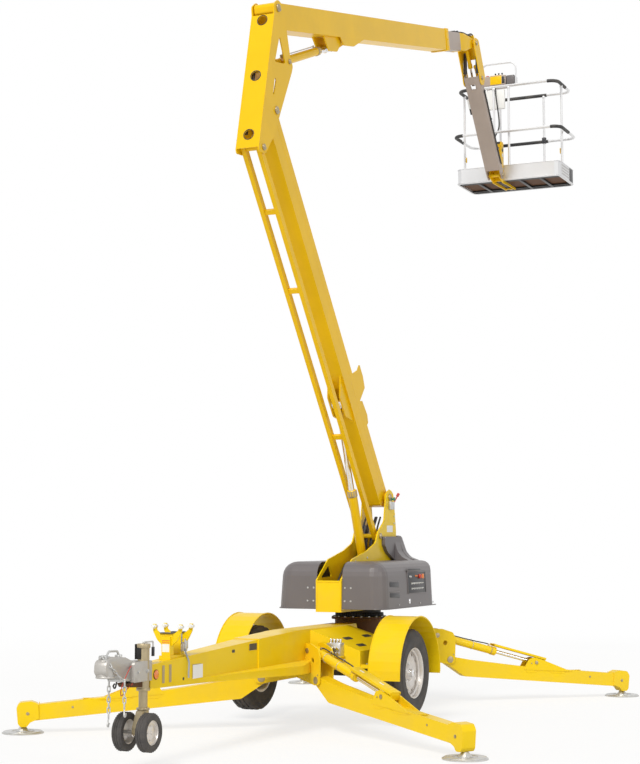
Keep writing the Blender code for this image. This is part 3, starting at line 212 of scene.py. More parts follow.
def plastic(name, colour, roughness=0.48, grain=900.0, depth=0.0006):
    """Moulded cover: fine leather-like grain and scuffs."""
    look = Look(name, colour, roughness)
    clouds = look.noise(3.5, 3.0, 0.55)
    scuffs = look.stepped(look.noise(24.0, 6.0, 0.7, (1.0, 1.0, 3.0)), 0.62, 0.80)
    tone = look.mixed(clouds, tinted(colour, 0.90), tinted(colour, 1.10))
    look.set("Base Color", look.mixed(scuffs * 0.20, tone, tinted(colour, 1.6, 0.02)))
    look.set("Roughness", scuffs * 0.12 + clouds * 0.08 + (roughness - 0.04))
    look.bump(look.noise(grain, 2.0, 0.6), depth, 0.35)
    return look.material


def plated(name, colour, roughness=0.38, metallic=0.85, spangle=60.0):
    """Zinc plate: crystal patches with a slightly different sheen."""
    look = Look(name, colour, roughness, metallic)
    cells = look.node("ShaderNodeTexVoronoi", {}, {"Vector": look.place, "Scale": spangle}, "Color")
    grey = look.node("ShaderNodeRGBToBW", {}, {0: cells})
    stains = look.stepped(look.noise(7.0, 4.0, 0.65), 0.52, 0.75)
    tone = look.mixed(grey * 0.5, tinted(colour, 0.86), tinted(colour, 1.08))
    look.set("Base Color", look.mixed(stains * 0.35, tone, (0.30, 0.25, 0.19)))
    look.set("Roughness", grey * 0.14 + stains * 0.22 + (roughness - 0.07))
    look.bump(look.noise(260.0, 2.0), 0.0004, 0.2)
    return look.material


def chromed(name, colour=(0.82, 0.82, 0.83), roughness=0.13):
    """Hard chrome with a film of oil and fine rings along the stroke."""
    look = Look(name, colour, roughness, 1.0)
    film = look.noise(9.0, 3.0, 0.6)
    look.set("Base Color", look.mixed(look.stepped(film, 0.45, 0.8) * 0.4, colour, tinted(colour, 0.72)))
    look.set("Roughness", film * 0.16 + (roughness - 0.05))
    look.bump(look.noise(700.0, 1.0), 0.0002, 0.10)
    return look.material


def rubbery(name, colour=(0.045, 0.042, 0.042), roughness=0.80):
    """Rubber with a bloom of grey dust in its hollows."""
    look = Look(name, colour, roughness)
    clouds = look.noise(11.0, 5.0, 0.65)
    bloom = look.stepped(clouds, 0.38, 0.72)
    look.set("Base Color", look.mixed(bloom * 0.55, colour, (0.125, 0.112, 0.10)))
    look.set("Roughness", bloom * 0.10 + (roughness - 0.05))
    look.bump(look.noise(240.0, 3.0, 0.6), 0.0008, 0.35)
    return look.material


def brushed(name, colour=(0.72, 0.72, 0.73), roughness=0.36, metallic=0.75):
    """Mill-finished aluminium with drawn lines and dull patches."""
    look = Look(name, colour, roughness, metallic)
    lines = look.noise(30.0, 3.0, 0.7, (1.0, 1.0, 22.0))
    clouds = look.noise(5.0, 4.0, 0.6)
    look.set("Base Color", look.mixed(clouds * 0.6 + lines * 0.2, tinted(colour, 0.86),
                                      tinted(colour, 1.08)))
    look.set("Roughness", lines * 0.16 + clouds * 0.12 + (roughness - 0.12))
    look.bump(lines, 0.0003, 0.12)
    return look.material


def lamp_lens(name, colour):
    """Moulded reflector with small prisms."""
    look = Look(name, colour, 0.22, Coat_Weight=0.6)
    prisms = look.node("ShaderNodeTexVoronoi", {}, {"Vector": look.place, "Scale": 320.0}, "Distance")
    look.set("Base Color", look.mixed(prisms, tinted(colour, 0.8), tinted(colour, 1.3)))
    look.bump(prisms, 0.0006, 0.5)
    return look.material


YELLOW = painted("yellow_enamel", (0.87, 0.60, 0.006))
# Same yellow paint, made a deeper orange for the booms and upper parts: painted shade.
YELLOW_BOOMS_SHADED = painted("yellow_enamel_booms_shaded", (0.85, 0.52, 0.004), worn=0.04)
JIB_GREY = painted("taupe_enamel", (0.42, 0.345, 0.295), 0.42, worn=0.08, coat=0.15)
BLACK = painted("black_enamel", (0.022, 0.021, 0.021), 0.45, (0.12, 0.10, 0.08), 0.30, 0.1)
# Brown: real primer in places, and painted shade on the pedestal, keel, coupler underside and floor
# underside.
BROWN_PRIMER_AND_SHADE = painted("brown_primer_and_painted_shade", (0.105, 0.048, 0.022), 0.62, (0.16, 0.11, 0.07), 0.25, 0.0)
COVER = plastic("grey_cover", (0.140, 0.126, 0.129), 0.38)
PANEL = plastic("panel_black", (0.030, 0.030, 0.034), 0.40, 500.0, 0.0003)
KNOB_RED = plastic("knob_red", (0.55, 0.05, 0.03), 0.35, 500.0, 0.0002)
KNOB_ORANGE = plastic("knob_orange", (0.80, 0.22, 0.03), 0.38, 500.0, 0.0002)
KNOB_GREEN = plastic("knob_green", (0.05, 0.22, 0.12), 0.40, 500.0, 0.0002)
LABEL = plastic("blank_label", (0.82, 0.82, 0.80), 0.40, 300.0, 0.0001)
STRAP = plastic("woven_strap", (0.30, 0.34, 0.42), 0.75, 1200.0, 0.0008)
ZINC = plated("zinc_plate", (0.62, 0.62, 0.61))
CASTING = plated("cast_head", (0.52, 0.50, 0.47), 0.46, 0.75, 140.0)
GOLD_ZINC = plated("yellow_zinc", (0.46, 0.38, 0.24), 0.42, 0.80)
CHROME = chromed("hard_chrome")
RIM = plated("silver_rim", (0.74, 0.70, 0.66), 0.34, 0.65, 220.0)
TYRE = rubbery("tyre_rubber", (0.052, 0.048, 0.047))
HOSE = rubbery("hose_rubber", (0.022, 0.022, 0.023), 0.55)
ALUMINIUM = brushed("mill_aluminium")
RAIL_WHITE = brushed("bright_rail", (0.80, 0.80, 0.81), 0.30, 0.55)
AMBER = lamp_lens("amber_lens", (0.85, 0.20, 0.02))


# Shapes

def as_object(name, mesh):
    thing = bpy.data.objects.new(name, mesh)
    bpy.context.scene.collection.objects.link(thing)
    return thing


def from_bmesh(work, name="piece"):
    mesh = bpy.data.meshes.new(name)
    bmesh.ops.recalc_face_normals(work, faces=work.faces)
    work.to_mesh(mesh)
    work.free()
    return mesh


def block(x, y, z, bevel=0.0, segments=2):
    work = bmesh.new()
    bmesh.ops.create_cube(work, size=1.0)
    bmesh.ops.scale(work, vec=[high - low for low, high in (x, y, z)], verts=work.verts)
    bmesh.ops.translate(work, vec=[(high + low) / 2 for low, high in (x, y, z)], verts=work.verts)
    if bevel:
        bmesh.ops.bevel(work, geom=work.edges[:], offset=bevel, segments=segments, affect="EDGES",
                        profile=0.5)
    return from_bmesh(work)


def rod(radius, start, end, sides=24, end_radius=None, bevel=0.0):
    start = Vector(start)
    end = Vector(end)
    along = end - start
    work = bmesh.new()
    bmesh.ops.create_cone(work, cap_ends=True, segments=sides, radius1=radius,
                          radius2=radius if end_radius is None else end_radius, depth=along.length)
    if bevel:
        rims = [edge for edge in work.edges if abs(edge.verts[0].co.z - edge.verts[1].co.z) < 1e-9]
        bmesh.ops.bevel(work, geom=rims, offset=bevel, segments=2, affect="EDGES", profile=0.5)
    turn = Vector((0, 0, 1)).rotation_difference(along.normalized()).to_matrix().to_4x4()
    bmesh.ops.transform(work, matrix=Matrix.Translation((start + end) / 2) @ turn, verts=work.verts)
    return from_bmesh(work)


def bar(radius, x, y, z, sides=24, **more):
    """Round bar along the axis whose place is given as a span."""
    start, end = ([value[k] if isinstance(value, tuple) else value for value in (x, y, z)] for k in (0, 1))
    return rod(radius, start, end, sides, **more)


def rounded(corners, step=radians(15), closed=True):
    """Points of a path whose corners are (point, radius); works in the plane and in space."""
    points = []
    count = len(corners)
    for index, (corner, radius) in enumerate(corners):
        here = Vector(corner)
        ends = not closed and index in (0, count - 1)
        if radius == 0 or ends:
            points.append(here)
            continue
        before = (Vector(corners[index - 1][0]) - here).normalized()
        after = (Vector(corners[(index + 1) % count][0]) - here).normalized()
        half = before.angle(after) / 2
        if half > pi / 2 - 0.01:
            points.append(here)
            continue
        reach = radius / tan(half)
        centre = here + (before + after).normalized() * (radius / sin(half))
        first = here + before * reach - centre
        last = here + after * reach - centre
        sweep = first.angle(last)
        steps = max(1, ceil(sweep / step))
        for number in range(steps + 1):
            share = number / steps
            blend = first * sin((1 - share) * sweep) + last * sin(share * sweep)
            points.append(centre + blend / sin(sweep))
    return points


def circle(x, y, radius, sides=24):
    return [(x + radius * cos(2 * pi * k / sides), y + radius * sin(2 * pi * k / sides))
            for k in range(sides)]


def curve_mesh(fill, splines):
    curve = bpy.data.curves.new("outline", "CURVE")
    curve.dimensions = "2D" if "extrude" in fill else "3D"
    for key, value in fill.items():
        setattr(curve, key, value)
    for points, closed in splines:
        spline = curve.splines.new("POLY")
        spline.points.add(len(points) - 1)
        for knot, point in zip(spline.points, points):
            place = tuple(point)
            knot.co = (*place, 1.0) if len(place) == 3 else (*place, 0.0, 1.0)
        spline.use_cyclic_u = closed
    shape = bpy.data.objects.new("outline", curve)
    work = bmesh.new()
    work.from_mesh(bpy.data.meshes.new_from_object(shape))
    bpy.data.objects.remove(shape)
    bmesh.ops.remove_doubles(work, verts=work.verts, dist=1e-6)
    return from_bmesh(work)


LAY = {
    "xz": Matrix.Rotation(pi / 2, 4, "X"),
    "yz": Matrix(((0, 0, 1, 0), (1, 0, 0, 0), (0, 1, 0, 0), (0, 0, 0, 1))),
    "xy": Matrix.Identity(4),
}
THROUGH = {"xz": Vector((0, 1, 0)), "yz": Vector((1, 0, 0)), "xy": Vector((0, 0, 1))}


def plate(corners, thickness, middle=0.0, plane="xz", holes=(), edge=0.0):
    """Flat piece with corners (a, b) or (a, b, radius) in its plane, and a small edge round."""
    points = rounded([((corner[0], corner[1]), corner[2] if len(corner) > 2 else 0) for corner in corners])
    fill = {"fill_mode": "BOTH", "extrude": thickness / 2 - edge, "bevel_depth": edge, "bevel_resolution": 1,
            "offset": -edge}
    mesh = curve_mesh(fill, [(points, True), *((hole, True) for hole in holes)])
    mesh.transform(Matrix.Translation(THROUGH[plane] * middle) @ LAY[plane])
    return mesh


def pair(corners, thickness, middle, **more):
    return [plate(corners, thickness, side * middle, **more) for side in (-1, 1)]


def hose(corners, radius, closed=False, resolution=4):
    """Bent tube through (point, bend radius) corners."""
    points = rounded(corners, closed=closed)
    fill = {"bevel_depth": radius, "bevel_resolution": resolution, "use_fill_caps": True}
    return curve_mesh(fill, [(points, closed)])


def flowing(points, radius, samples=8):
    """Hose on a smooth curve through a few points."""
    knots = [Vector(point) for point in points]
    knots = [knots[0] * 2 - knots[1], *knots, knots[-1] * 2 - knots[-2]]
    path = []
    for a, b, c, d in zip(knots, knots[1:], knots[2:], knots[3:]):
        for k in range(samples):
            t = k / samples
            path.append(0.5 * ((2 * b) + (c - a) * t + (2 * a - 5 * b + 4 * c - d) * t * t
                               + (3 * b - a - 3 * c + d) * t * t * t))
    path.append(knots[-2])
    return curve_mesh({"bevel_depth": radius, "bevel_resolution": 3, "use_fill_caps": True}, [(path, False)])


def lathe(profile, sides=48):
    """Solid of revolution about y from closed (radius, y) pairs."""
    work = bmesh.new()
    ring = [work.verts.new((radius, y, 0.0)) for radius, y in profile]
    edges = [work.edges.new((ring[k], ring[(k + 1) % len(ring)])) for k in range(len(ring))]
    bmesh.ops.spin(work, geom=[*ring, *edges], cent=(0, 0, 0), axis=(0, 1, 0), angle=2 * pi, steps=sides,
                   use_merge=True)
    bmesh.ops.remove_doubles(work, verts=work.verts, dist=1e-6)
    return from_bmesh(work)


def moved(mesh, matrix):
    mesh.transform(matrix)
    return mesh


def between(first, second):
    """Two limits, the low one first."""
    return min(first, second), max(first, second)


def both_ways(half, middle=0.0):
    """Closed profile from (radius, distance from its middle) pairs of one half."""
    return [*((r, middle - y) for r, y in half), *((r, middle + y) for r, y in reversed(half))]


def soft_rectangle(x, z, radius):
    """Corners of a rectangle between two spans, all with one radius."""
    return [(x[0], z[0], radius), (x[1], z[0], radius), (x[1], z[1], radius), (x[0], z[1], radius)]


def bolt(at, direction, size=0.012, washer=True):
    """Hexagon head on a washer, standing on a face."""
    at = Vector(at)
    along = Vector(direction).normalized()
    head = rod(size, at + along * 0.001, at + along * (0.001 + size * 0.75), 6, bevel=size * 0.10)
    return [head, rod(size * 1.45, at - along * 0.0005, at + along * 0.0025, 20)] if washer else [head]


def add(name, body, material, meshes, matrix=None, replaces=(), smooth=35.0, cuts=()):
    """One visible piece out of loose meshes, on a CAD body and by default in that body's own frame."""
    joined = bmesh.new()
    for mesh in meshes:
        joined.from_mesh(mesh)
    mesh = bpy.data.meshes.new(name)
    joined.to_mesh(mesh)
    joined.free()
    if cuts:
        mesh = trimmed(mesh, cuts)
    mesh.name = name
    mesh.transform(matrix or HOME.get(body, MACHINE))
    mesh.shade_smooth()
    mesh.set_sharp_from_angle(angle=radians(smooth))
    mesh.materials.clear()
    mesh.materials.append(material)
    thing = as_object(name, mesh)
    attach(thing, body)
    if replaces:
        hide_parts(*replaces)


def trimmed(mesh, cuts):
    """A mesh less the solids in `cuts`."""
    base = as_object("base", mesh)
    tools = [as_object("tool", cut) for cut in cuts]
    for tool in tools:
        change = base.modifiers.new("cut", "BOOLEAN")
        change.operation = "DIFFERENCE"
        change.solver = "EXACT"
        change.use_self = True
        change.object = tool
    bpy.context.view_layer.update()
    depsgraph = bpy.context.evaluated_depsgraph_get()
    result = bpy.data.meshes.new_from_object(base.evaluated_get(depsgraph), depsgraph=depsgraph)
    for thing in (base, *tools):
        bpy.data.objects.remove(thing)
    return result


def finish_solids():
    """Materials of the CAD pieces that stay in view."""
    looks = {
        YELLOW: ["chassis_frame", "fender_left", "fender_right", "boom_rest", "turret_frame",
                 *(f"{name}_{part}" for name in LEG_TURN for part in ("leg", "barrel"))],
        YELLOW_BOOMS_SHADED: ["lower_boom", "tie_link", "riser", "upper_boom", "knuckle", "level_link",
                      "platform_support",
                      "lift_barrel", "upper_barrel", "jib_barrel"],
        JIB_GREY: ["inner_boom", "jib", "control_console"],
        COVER: ["cover_left", "cover_right", "rear_hood"],
        BLACK: ["slew_bearing", "axle", "floor_bearers"],
        TYRE: ["tyre_left", "tyre_right", "jockey_wheels"],
        RIM: ["rim_left", "rim_right"],
        ZINC: [*(f"{name}_pad" for name in LEG_TURN)],
        CASTING: ["coupler"],
        GOLD_ZINC: ["jack_mast", "jockey_fork"],
        CHROME: ["lift_rod", "upper_rod", "jib_rod", "jack_tube", *(f"{name}_rod" for name in LEG_TURN)],
        RAIL_WHITE: ["platform_rails"],
        ALUMINIUM: ["platform_tray"],
    }
    for material, names in looks.items():
        for name in names:
            node = frame["nodes"][name]
            node.data.materials.clear()
            node.data.materials.append(material)


def light_and_camera():
    world = bpy.data.worlds.new("studio")
    bpy.context.scene.world = world
    world.use_nodes = True
    tree = world.node_tree
    fill = tree.nodes["Background"]
    fill.inputs["Color"].default_value = (1.0, 0.995, 0.985, 1.0)
    fill.inputs["Strength"].default_value = 0.48
    seen = tree.nodes.new("ShaderNodeBackground")
    seen.inputs["Color"].default_value = (1.0, 1.0, 1.0, 1.0)
    seen.inputs["Strength"].default_value = 1.0
    path = tree.nodes.new("ShaderNodeLightPath")
    share = tree.nodes.new("ShaderNodeMath")
    share.operation = "MAXIMUM"
    tree.links.new(path.outputs["Is Camera Ray"], share.inputs[0])
    tree.links.new(path.outputs["Is Glossy Ray"], share.inputs[1])
    mix = tree.nodes.new("ShaderNodeMixShader")
    tree.links.new(share.outputs[0], mix.inputs[0])
    tree.links.new(fill.outputs[0], mix.inputs[1])
    tree.links.new(seen.outputs[0], mix.inputs[2])
    tree.links.new(mix.outputs[0], tree.nodes["World Output"].inputs["Surface"])

    for name, energy, size, at, aim in (
        ("key", 2.25, 18.0, (13.0, 1.0, 14.0), (0.0, 0.0, 2.0)),
        ("side", 0.30, 12.0, (4.0, 16.0, 8.0), (0.0, 0.0, 2.5)),
    ):
        data = bpy.data.lights.new(name, "SUN")
        data.energy = energy
        data.angle = radians(size)
        data.color = (1.0, 0.985, 0.95)
        lamp = bpy.data.objects.new(name, data)
        bpy.context.scene.collection.objects.link(lamp)
        lamp.location = at
        lamp.rotation_euler = (Vector(aim) - Vector(at)).to_track_quat("-Z", "Y").to_euler()

    floor_mesh = bpy.data.meshes.new("floor")
    work = bmesh.new()
    bmesh.ops.create_grid(work, x_segments=1, y_segments=1, size=60.0)
    work.to_mesh(floor_mesh)
    work.free()
    floor = as_object("floor", floor_mesh)
    floor.location.z = -0.002
    pale = Look("pale_floor", (0.93, 0.93, 0.93), 0.9)
    glow = pale.node("ShaderNodeEmission", {}, {"Color": (1.0, 1.0, 1.0, 1.0), "Strength": 1.0})
    lit = Value(pale, pale.shader.outputs[0])
    away = pale.node("ShaderNodeVectorMath", {"operation": "LENGTH"}, {0: pale.place}, "Value")
    share = pale.stepped(away, 5.0, 14.0) * 0.25 + 0.75
    path = pale.node("ShaderNodeLightPath", {}, {}, "Is Camera Ray")
    mixed_surface = pale.node("ShaderNodeMixShader", {}, {0: (share * path).limited(), 1: lit, 2: glow})
    pale.tree.links.new(mixed_surface.socket, pale.tree.nodes["Material Output"].inputs["Surface"])
    floor_mesh.materials.append(pale.material)

    data = bpy.data.cameras.new("camera")
    camera = bpy.data.objects.new("camera", data)
    bpy.context.scene.collection.objects.link(camera)
    # Fitted to the road tyres, the foot pads and the booms' ends in the photograph
    focal_pixels, photo_height = 1628.5, 764
    heading, pitch = 3.5683, 0.0955
    data.sensor_width = 36.0
    data.lens = focal_pixels / photo_height * 36.0
    data.clip_end = 200.0
    camera.location = (13.3701 + SLEW_X, 5.6958, 1.5318)
    forward = Vector((cos(pitch) * cos(heading), cos(pitch) * sin(heading), sin(pitch)))
    camera.rotation_euler = forward.to_track_quat("-Z", "Y").to_euler()
    bpy.context.scene.camera = camera
    bpy.context.scene.view_settings.view_transform = "Standard"


def tyre_and_rim(side, name):
    """Road wheel: treaded tyre, pierced silver rim, hub cap and wheel nuts."""
    hub = joint_frame(f"wheel_{name}_roll")
    body = f"wheel_{name}"
    sides = 72
    half = 0.1015
    tread = lathe(both_ways([
        (0.2033, 0.084), (0.214, 0.092), (0.232, 0.096), (0.262, 0.1005), (0.290, half), (0.312, 0.098),
        (0.330, 0.090), (0.345, 0.082), (0.3565, 0.070), (0.3585, 0.052), (0.3585, 0.047), (0.350, 0.045),
        (0.350, 0.037), (0.3595, 0.035), (0.3595, 0.009), (0.351, 0.007)]), sides)
    for vert in tread.vertices:
        radius = hypot(vert.co.x, vert.co.z)
        step = round(atan2(vert.co.z, vert.co.x) / (2 * pi) * sides) % sides
        if radius > 0.354 and step % 3 == (0 if abs(vert.co.y) > 0.04 else 1):
            drop = 1 - 0.0085 / radius
            vert.co.x *= drop
            vert.co.z *= drop
    ribs = []
    for radius, width in ((0.300, 0.0022), (0.236, 0.0022)):
        for face in (-1, 1):
            edge = face * (half - 0.0005 if radius > 0.27 else 0.0965)
            ribs.append(lathe([(radius - width, edge), (radius, edge + face * 0.0012),
                               (radius + width, edge)], sides))
    add(f"tyre_{name}_treaded", body, TYRE, [tread, *ribs], hub, (f"tyre_{name}",), 28.0)

    lip = [(0.2025, -0.083), (0.2028, 0.083), (0.2030, 0.0835), (0.206, 0.090), (0.198, 0.088),
           (0.192, 0.078), (0.188, 0.060), (0.178, 0.052), (0.176, 0.020), (0.175, -0.060), (0.186, -0.078),
           (0.196, -0.086), (0.206, -0.088), (0.2030, -0.0835)]
    dish = [(0.180, 0.030), (0.172, 0.040), (0.158, 0.044), (0.128, 0.050), (0.105, 0.044), (0.082, 0.034),
            (0.066, 0.034), (0.058, 0.048), (0.052, 0.051), (0.0235, 0.051), (0.0235, 0.045), (0.050, 0.044),
            (0.056, 0.028), (0.082, 0.028), (0.105, 0.038), (0.128, 0.043), (0.158, 0.037), (0.172, 0.030)]
    slots = []
    for k in range(10):
        hole = plate([(0.137, -0.013, 0.010), (0.137, 0.013, 0.010), (0.163, 0.013, 0.010),
                      (0.163, -0.013, 0.010)], 0.2)
        slots.append(moved(hole, Matrix.Rotation(2 * pi * k / 10, 4, "Y")))
    rim = trimmed(lathe([(r, side * y) for r, y in dish], 60), slots)
    add(f"rim_{name}_pierced", body, RIM, [lathe([(r, side * y) for r, y in lip], 72), rim], hub,
        (f"rim_{name}",), 30.0)
    nuts = []
    for k in range(5):
        a = 2 * pi * k / 5 + 0.3
        nuts.extend(bolt((0.074 * cos(a), side * 0.034, 0.074 * sin(a)), (0, side, 0), 0.010))
    cap = lathe([(0.004, side * 0.082), (0.022, side * 0.081), (0.029, side * 0.076), (0.031, side * 0.066),
                 (0.036, side * 0.0515), (0.004, side * 0.0515)], 32)
    stem = [(r, side * y) for r, y in ((0.004, 0.060), (0.0055, 0.064), (0.0055, 0.040), (0.004, 0.040))]
    valve = moved(lathe(stem, 12), Matrix.Translation((0.168, 0, 0.02)))
    add(f"hub_{name}_fittings", body, CHROME, [*nuts, cap, valve], hub)


def ring(radius, thick, at, axis="Y", sides=28):
    """Round-section ring."""
    points = circle(0.0, 0.0, radius, sides)
    turn = {"Y": Matrix.Rotation(pi / 2, 4, "X"), "X": Matrix.Rotation(pi / 2, 4, "Y"),
            "Z": Matrix.Identity(4)}[axis]
    mesh = curve_mesh({"bevel_depth": thick, "bevel_resolution": 3},
                      [([(x, y, 0.0) for x, y in points], True)])
    return moved(mesh, Matrix.Translation(at) @ turn)


def on_sheet(x, y, z, thick=0.0012):
    """Thin bare plate given by two spans and one place."""
    spans = [value if isinstance(value, tuple) else (value - thick / 2, value + thick / 2)
             for value in (x, y, z)]
    return block(*spans, bevel=thick * 0.3, segments=1)


def fluid_end(at, along, size=0.011):
    """Hose fitting: hexagon, collar and crimped sleeve."""
    at = Vector(at)
    along = Vector(along).normalized()
    return [
        rod(size, at - along * 0.002, at + along * 0.014, 6, bevel=0.001),
        rod(size * 0.82, at + along * 0.012, at + along * 0.022, 18),
        rod(size * 0.98, at + along * 0.020, at + along * 0.052, 20, bevel=0.0015),
    ]


def pivots():
    """Pin ends with keeper bolts at every joint of the booms."""
    for name, body, x, z, half, radius in (
        ("boom_foot", "turret", -0.43, 1.90, 0.118, 0.025),
        ("tie_foot", "turret", -0.20, 1.55, 0.118, 0.020),
        ("boom_head", "riser", 0.0, 0.0, 0.102, 0.025),
        ("tie_head", "riser", 0.23, -0.35, 0.102, 0.020),
        ("upper_foot", "riser", -0.023, 0.848, 0.102, 0.025),
        ("upper_base", "riser", -0.235, 0.462, 0.102, 0.016),
        ("tip", "knuckle", 0.0, 0.0, 0.100, 0.020),
        ("jib_foot", "knuckle", -0.18, -0.34, 0.100, 0.018),
        ("jib_end", "platform", 0.0, 0.0, 0.085, 0.018),
    ):
        meshes = []
        for side in (-1, 1):
            face = side * half
            meshes += [
                bar(radius * 1.3, x, (face, face + side * 0.0115), z, 28, bevel=0.002),
                bar(radius * 0.55, x, (face + side * 0.011, face + side * 0.014), z, 20, bevel=0.001),
                *bolt((x - radius * 1.9, face, z), (0, side, 0), 0.0065),
            ]
        add(f"{name}_pin_ends", body, GOLD_ZINC, meshes)


def outrigger_fittings(name):
    """One outrigger: chromed rod under its yellow guard, barrel fittings, pins, pad ribs and doublers."""
    rest = ROD_EYE
    barrel = f"outrigger_barrel_{name}"
    rod_body = f"outrigger_rod_{name}"
    eye = [bar(0.032, rest, (-0.042, 0.042), 0, 32, bevel=0.002),
           bar(0.018, (0.466, rest - 0.012), 0, 0, 28),
           bar(0.026, (rest - 0.036, rest - 0.02), 0, 0, 24, bevel=0.002)]
    add(f"{name}_rod_chromed", rod_body, CHROME, eye, BARREL[name], (f"{name}_rod",))
    guard = [
        block((rest - 0.47, rest + 0.10), (-0.048, 0.048), (0.0620, 0.0665), 0.0015),
        block((rest - 0.47, rest + 0.10), (-0.048, -0.0445), (0.046, 0.0645), 0.0012),
        block((rest - 0.47, rest + 0.10), (0.0445, 0.048), (0.046, 0.0645), 0.0012),
        block((rest + 0.012, rest + 0.028), (-0.041, 0.041), (0.0, 0.064), 0.002),
        block((rest + 0.06, rest + 0.098), (-0.041, 0.041), (0.002, 0.064), 0.002),
        block((rest + 0.02, rest + 0.09), (-0.041, -0.036), (0.002, 0.064), 0.001),
        block((rest + 0.02, rest + 0.09), (0.036, 0.041), (0.002, 0.064), 0.001),
        block((rest - 0.475, rest - 0.455), (-0.048, 0.048), (0.063, 0.0675), 0.001),
    ]
    add(f"{name}_rod_guard", rod_body, YELLOW, guard, BARREL[name])
    add(f"{name}_guard_slots", rod_body, LABEL,
        [on_sheet((rest + place, rest + place + 0.055), (-0.006, 0.006), 0.0668)
         for place in (-0.40, -0.12)], BARREL[name])
    gland = [
        bar(0.0385, (0.600, 0.652), 0, 0, 32, bevel=0.003),
        bar(0.0395, (0.607, 0.611), 0, 0, 32, bevel=0.001),
        *fluid_end((0.575, 0, 0.034), (0, 0, 1), 0.009)[:2],
        *fluid_end((0.095, 0, 0.034), (0, 0, 1), 0.009)[:2],
    ]
    add(f"{name}_barrel_fittings", barrel, GOLD_ZINC, gland, BARREL[name])
    feed = [flowing([(0.575, 0.004, 0.050), (0.545, 0.016, 0.0525), (0.42, 0.030, 0.046),
                     (0.24, 0.033, 0.042), (0.12, 0.028, 0.046), (0.095, 0.004, 0.050)], 0.0055)]
    add(f"{name}_barrel_hose", barrel, HOSE, feed, BARREL[name])
    bands = []
    for place in (0.20, 0.40):
        bands.append(moved(ring(0.0375, 0.0022, (0, 0, 0), "X"), Matrix.Translation((place, 0, 0))))
        bands.append(ring(0.009, 0.0018, (place, 0.032, 0.048), "X", 16))
    add(f"{name}_barrel_clips", barrel, ZINC, bands, BARREL[name])

    leg = f"outrigger_{name}"
    drop = LEG_PIN_Z
    pins = []
    for side in (-1, 1):
        y = side * 0.0545
        pins += [bar(0.017, 0.915, (y, y + side * 0.008), 0.352 - drop, 24, bevel=0.001),
                 *bolt((0.862, y, 0.346 - drop), (0, side, 0), 0.006, False)]
        pins += bolt((FOOT_REACH - 0.035, side * 0.058, 0.155 - drop), (0, side, 0), 0.009)
        pins += bolt((1.50, side * 0.050, 0.200 - drop), (0, side, 0), 0.006)
    add(f"{name}_leg_pins", leg, GOLD_ZINC, pins, LEG[name])
    welds = []
    for side in (-1, 1):
        y = side * 0.0500
        arc = [(0.79, y, 0.292 - drop), (0.82, y, 0.262 - drop), (0.90, y, 0.262 - drop),
               (0.99, y, 0.278 - drop), (1.09, y, 0.250 - drop), (1.20, y, 0.246 - drop),
               (1.29, y, 0.256 - drop)]
        welds.append(flowing(arc, 0.0028, 5))
        welds.append(flowing([(1.760, y, 0.236 - drop), (1.760, y, 0.108 - drop)], 0.003, 3))
    welds.append(block((1.20, 1.42), (-0.024, 0.024), (0.2610 - drop, 0.2665 - drop), 0.002))
    add(f"{name}_leg_doubler", leg, YELLOW, welds, LEG[name])
    dish = [
        ring(0.150, 0.004, (FOOT_REACH, 0, 0.013 - drop), "Z", 40),
        ring(0.090, 0.003, (FOOT_REACH, 0, 0.0165 - drop), "Z", 32),
        bar(0.056, FOOT_REACH, 0, (0.014 - drop, 0.022 - drop), 36, bevel=0.002),
        bar(0.034, FOOT_REACH, 0, (0.02 - drop, 0.048 - drop), 28, end_radius=0.026, bevel=0.002),
    ]
    add(f"{name}_pad_ribs", leg, ZINC, dish, LEG[name])
    bracket = []
    for side in (-1, 1):
        y = side * 0.068
        bracket += [bar(0.030, 0, (y, y + side * 0.0055), LEG_PIN_Z, 28, bevel=0.0015),
                    bar(0.022, -0.130, (y, y + side * 0.0055), 0.632, 24, bevel=0.0012),
                    *bolt((0.034, y, 0.45), (0, side, 0), 0.006, False),
                    *bolt((-0.20, y, 0.50), (0, side, 0), 0.008)]
    place = LEG[name].translation.copy()
    stand = placed((place.x, place.y, 0.0), LEG_TURN[name])
    add(f"{name}_bracket_pins", "chassis", GOLD_ZINC, bracket, stand)
    gussets = []
    for side in (-1, 1):
        corners = [(-0.34, 0.44, 0.01), (-0.16, 0.405, 0.02), (-0.10, 0.47, 0.02), (-0.16, 0.60, 0.02),
                   (-0.34, 0.64, 0.01)]
        gussets.append(plate(corners, 0.004, side * 0.0695, holes=[circle(-0.235, 0.515, 0.028)],
                             edge=0.001))
    add(f"{name}_bracket_doublers", "chassis", YELLOW, gussets, stand)


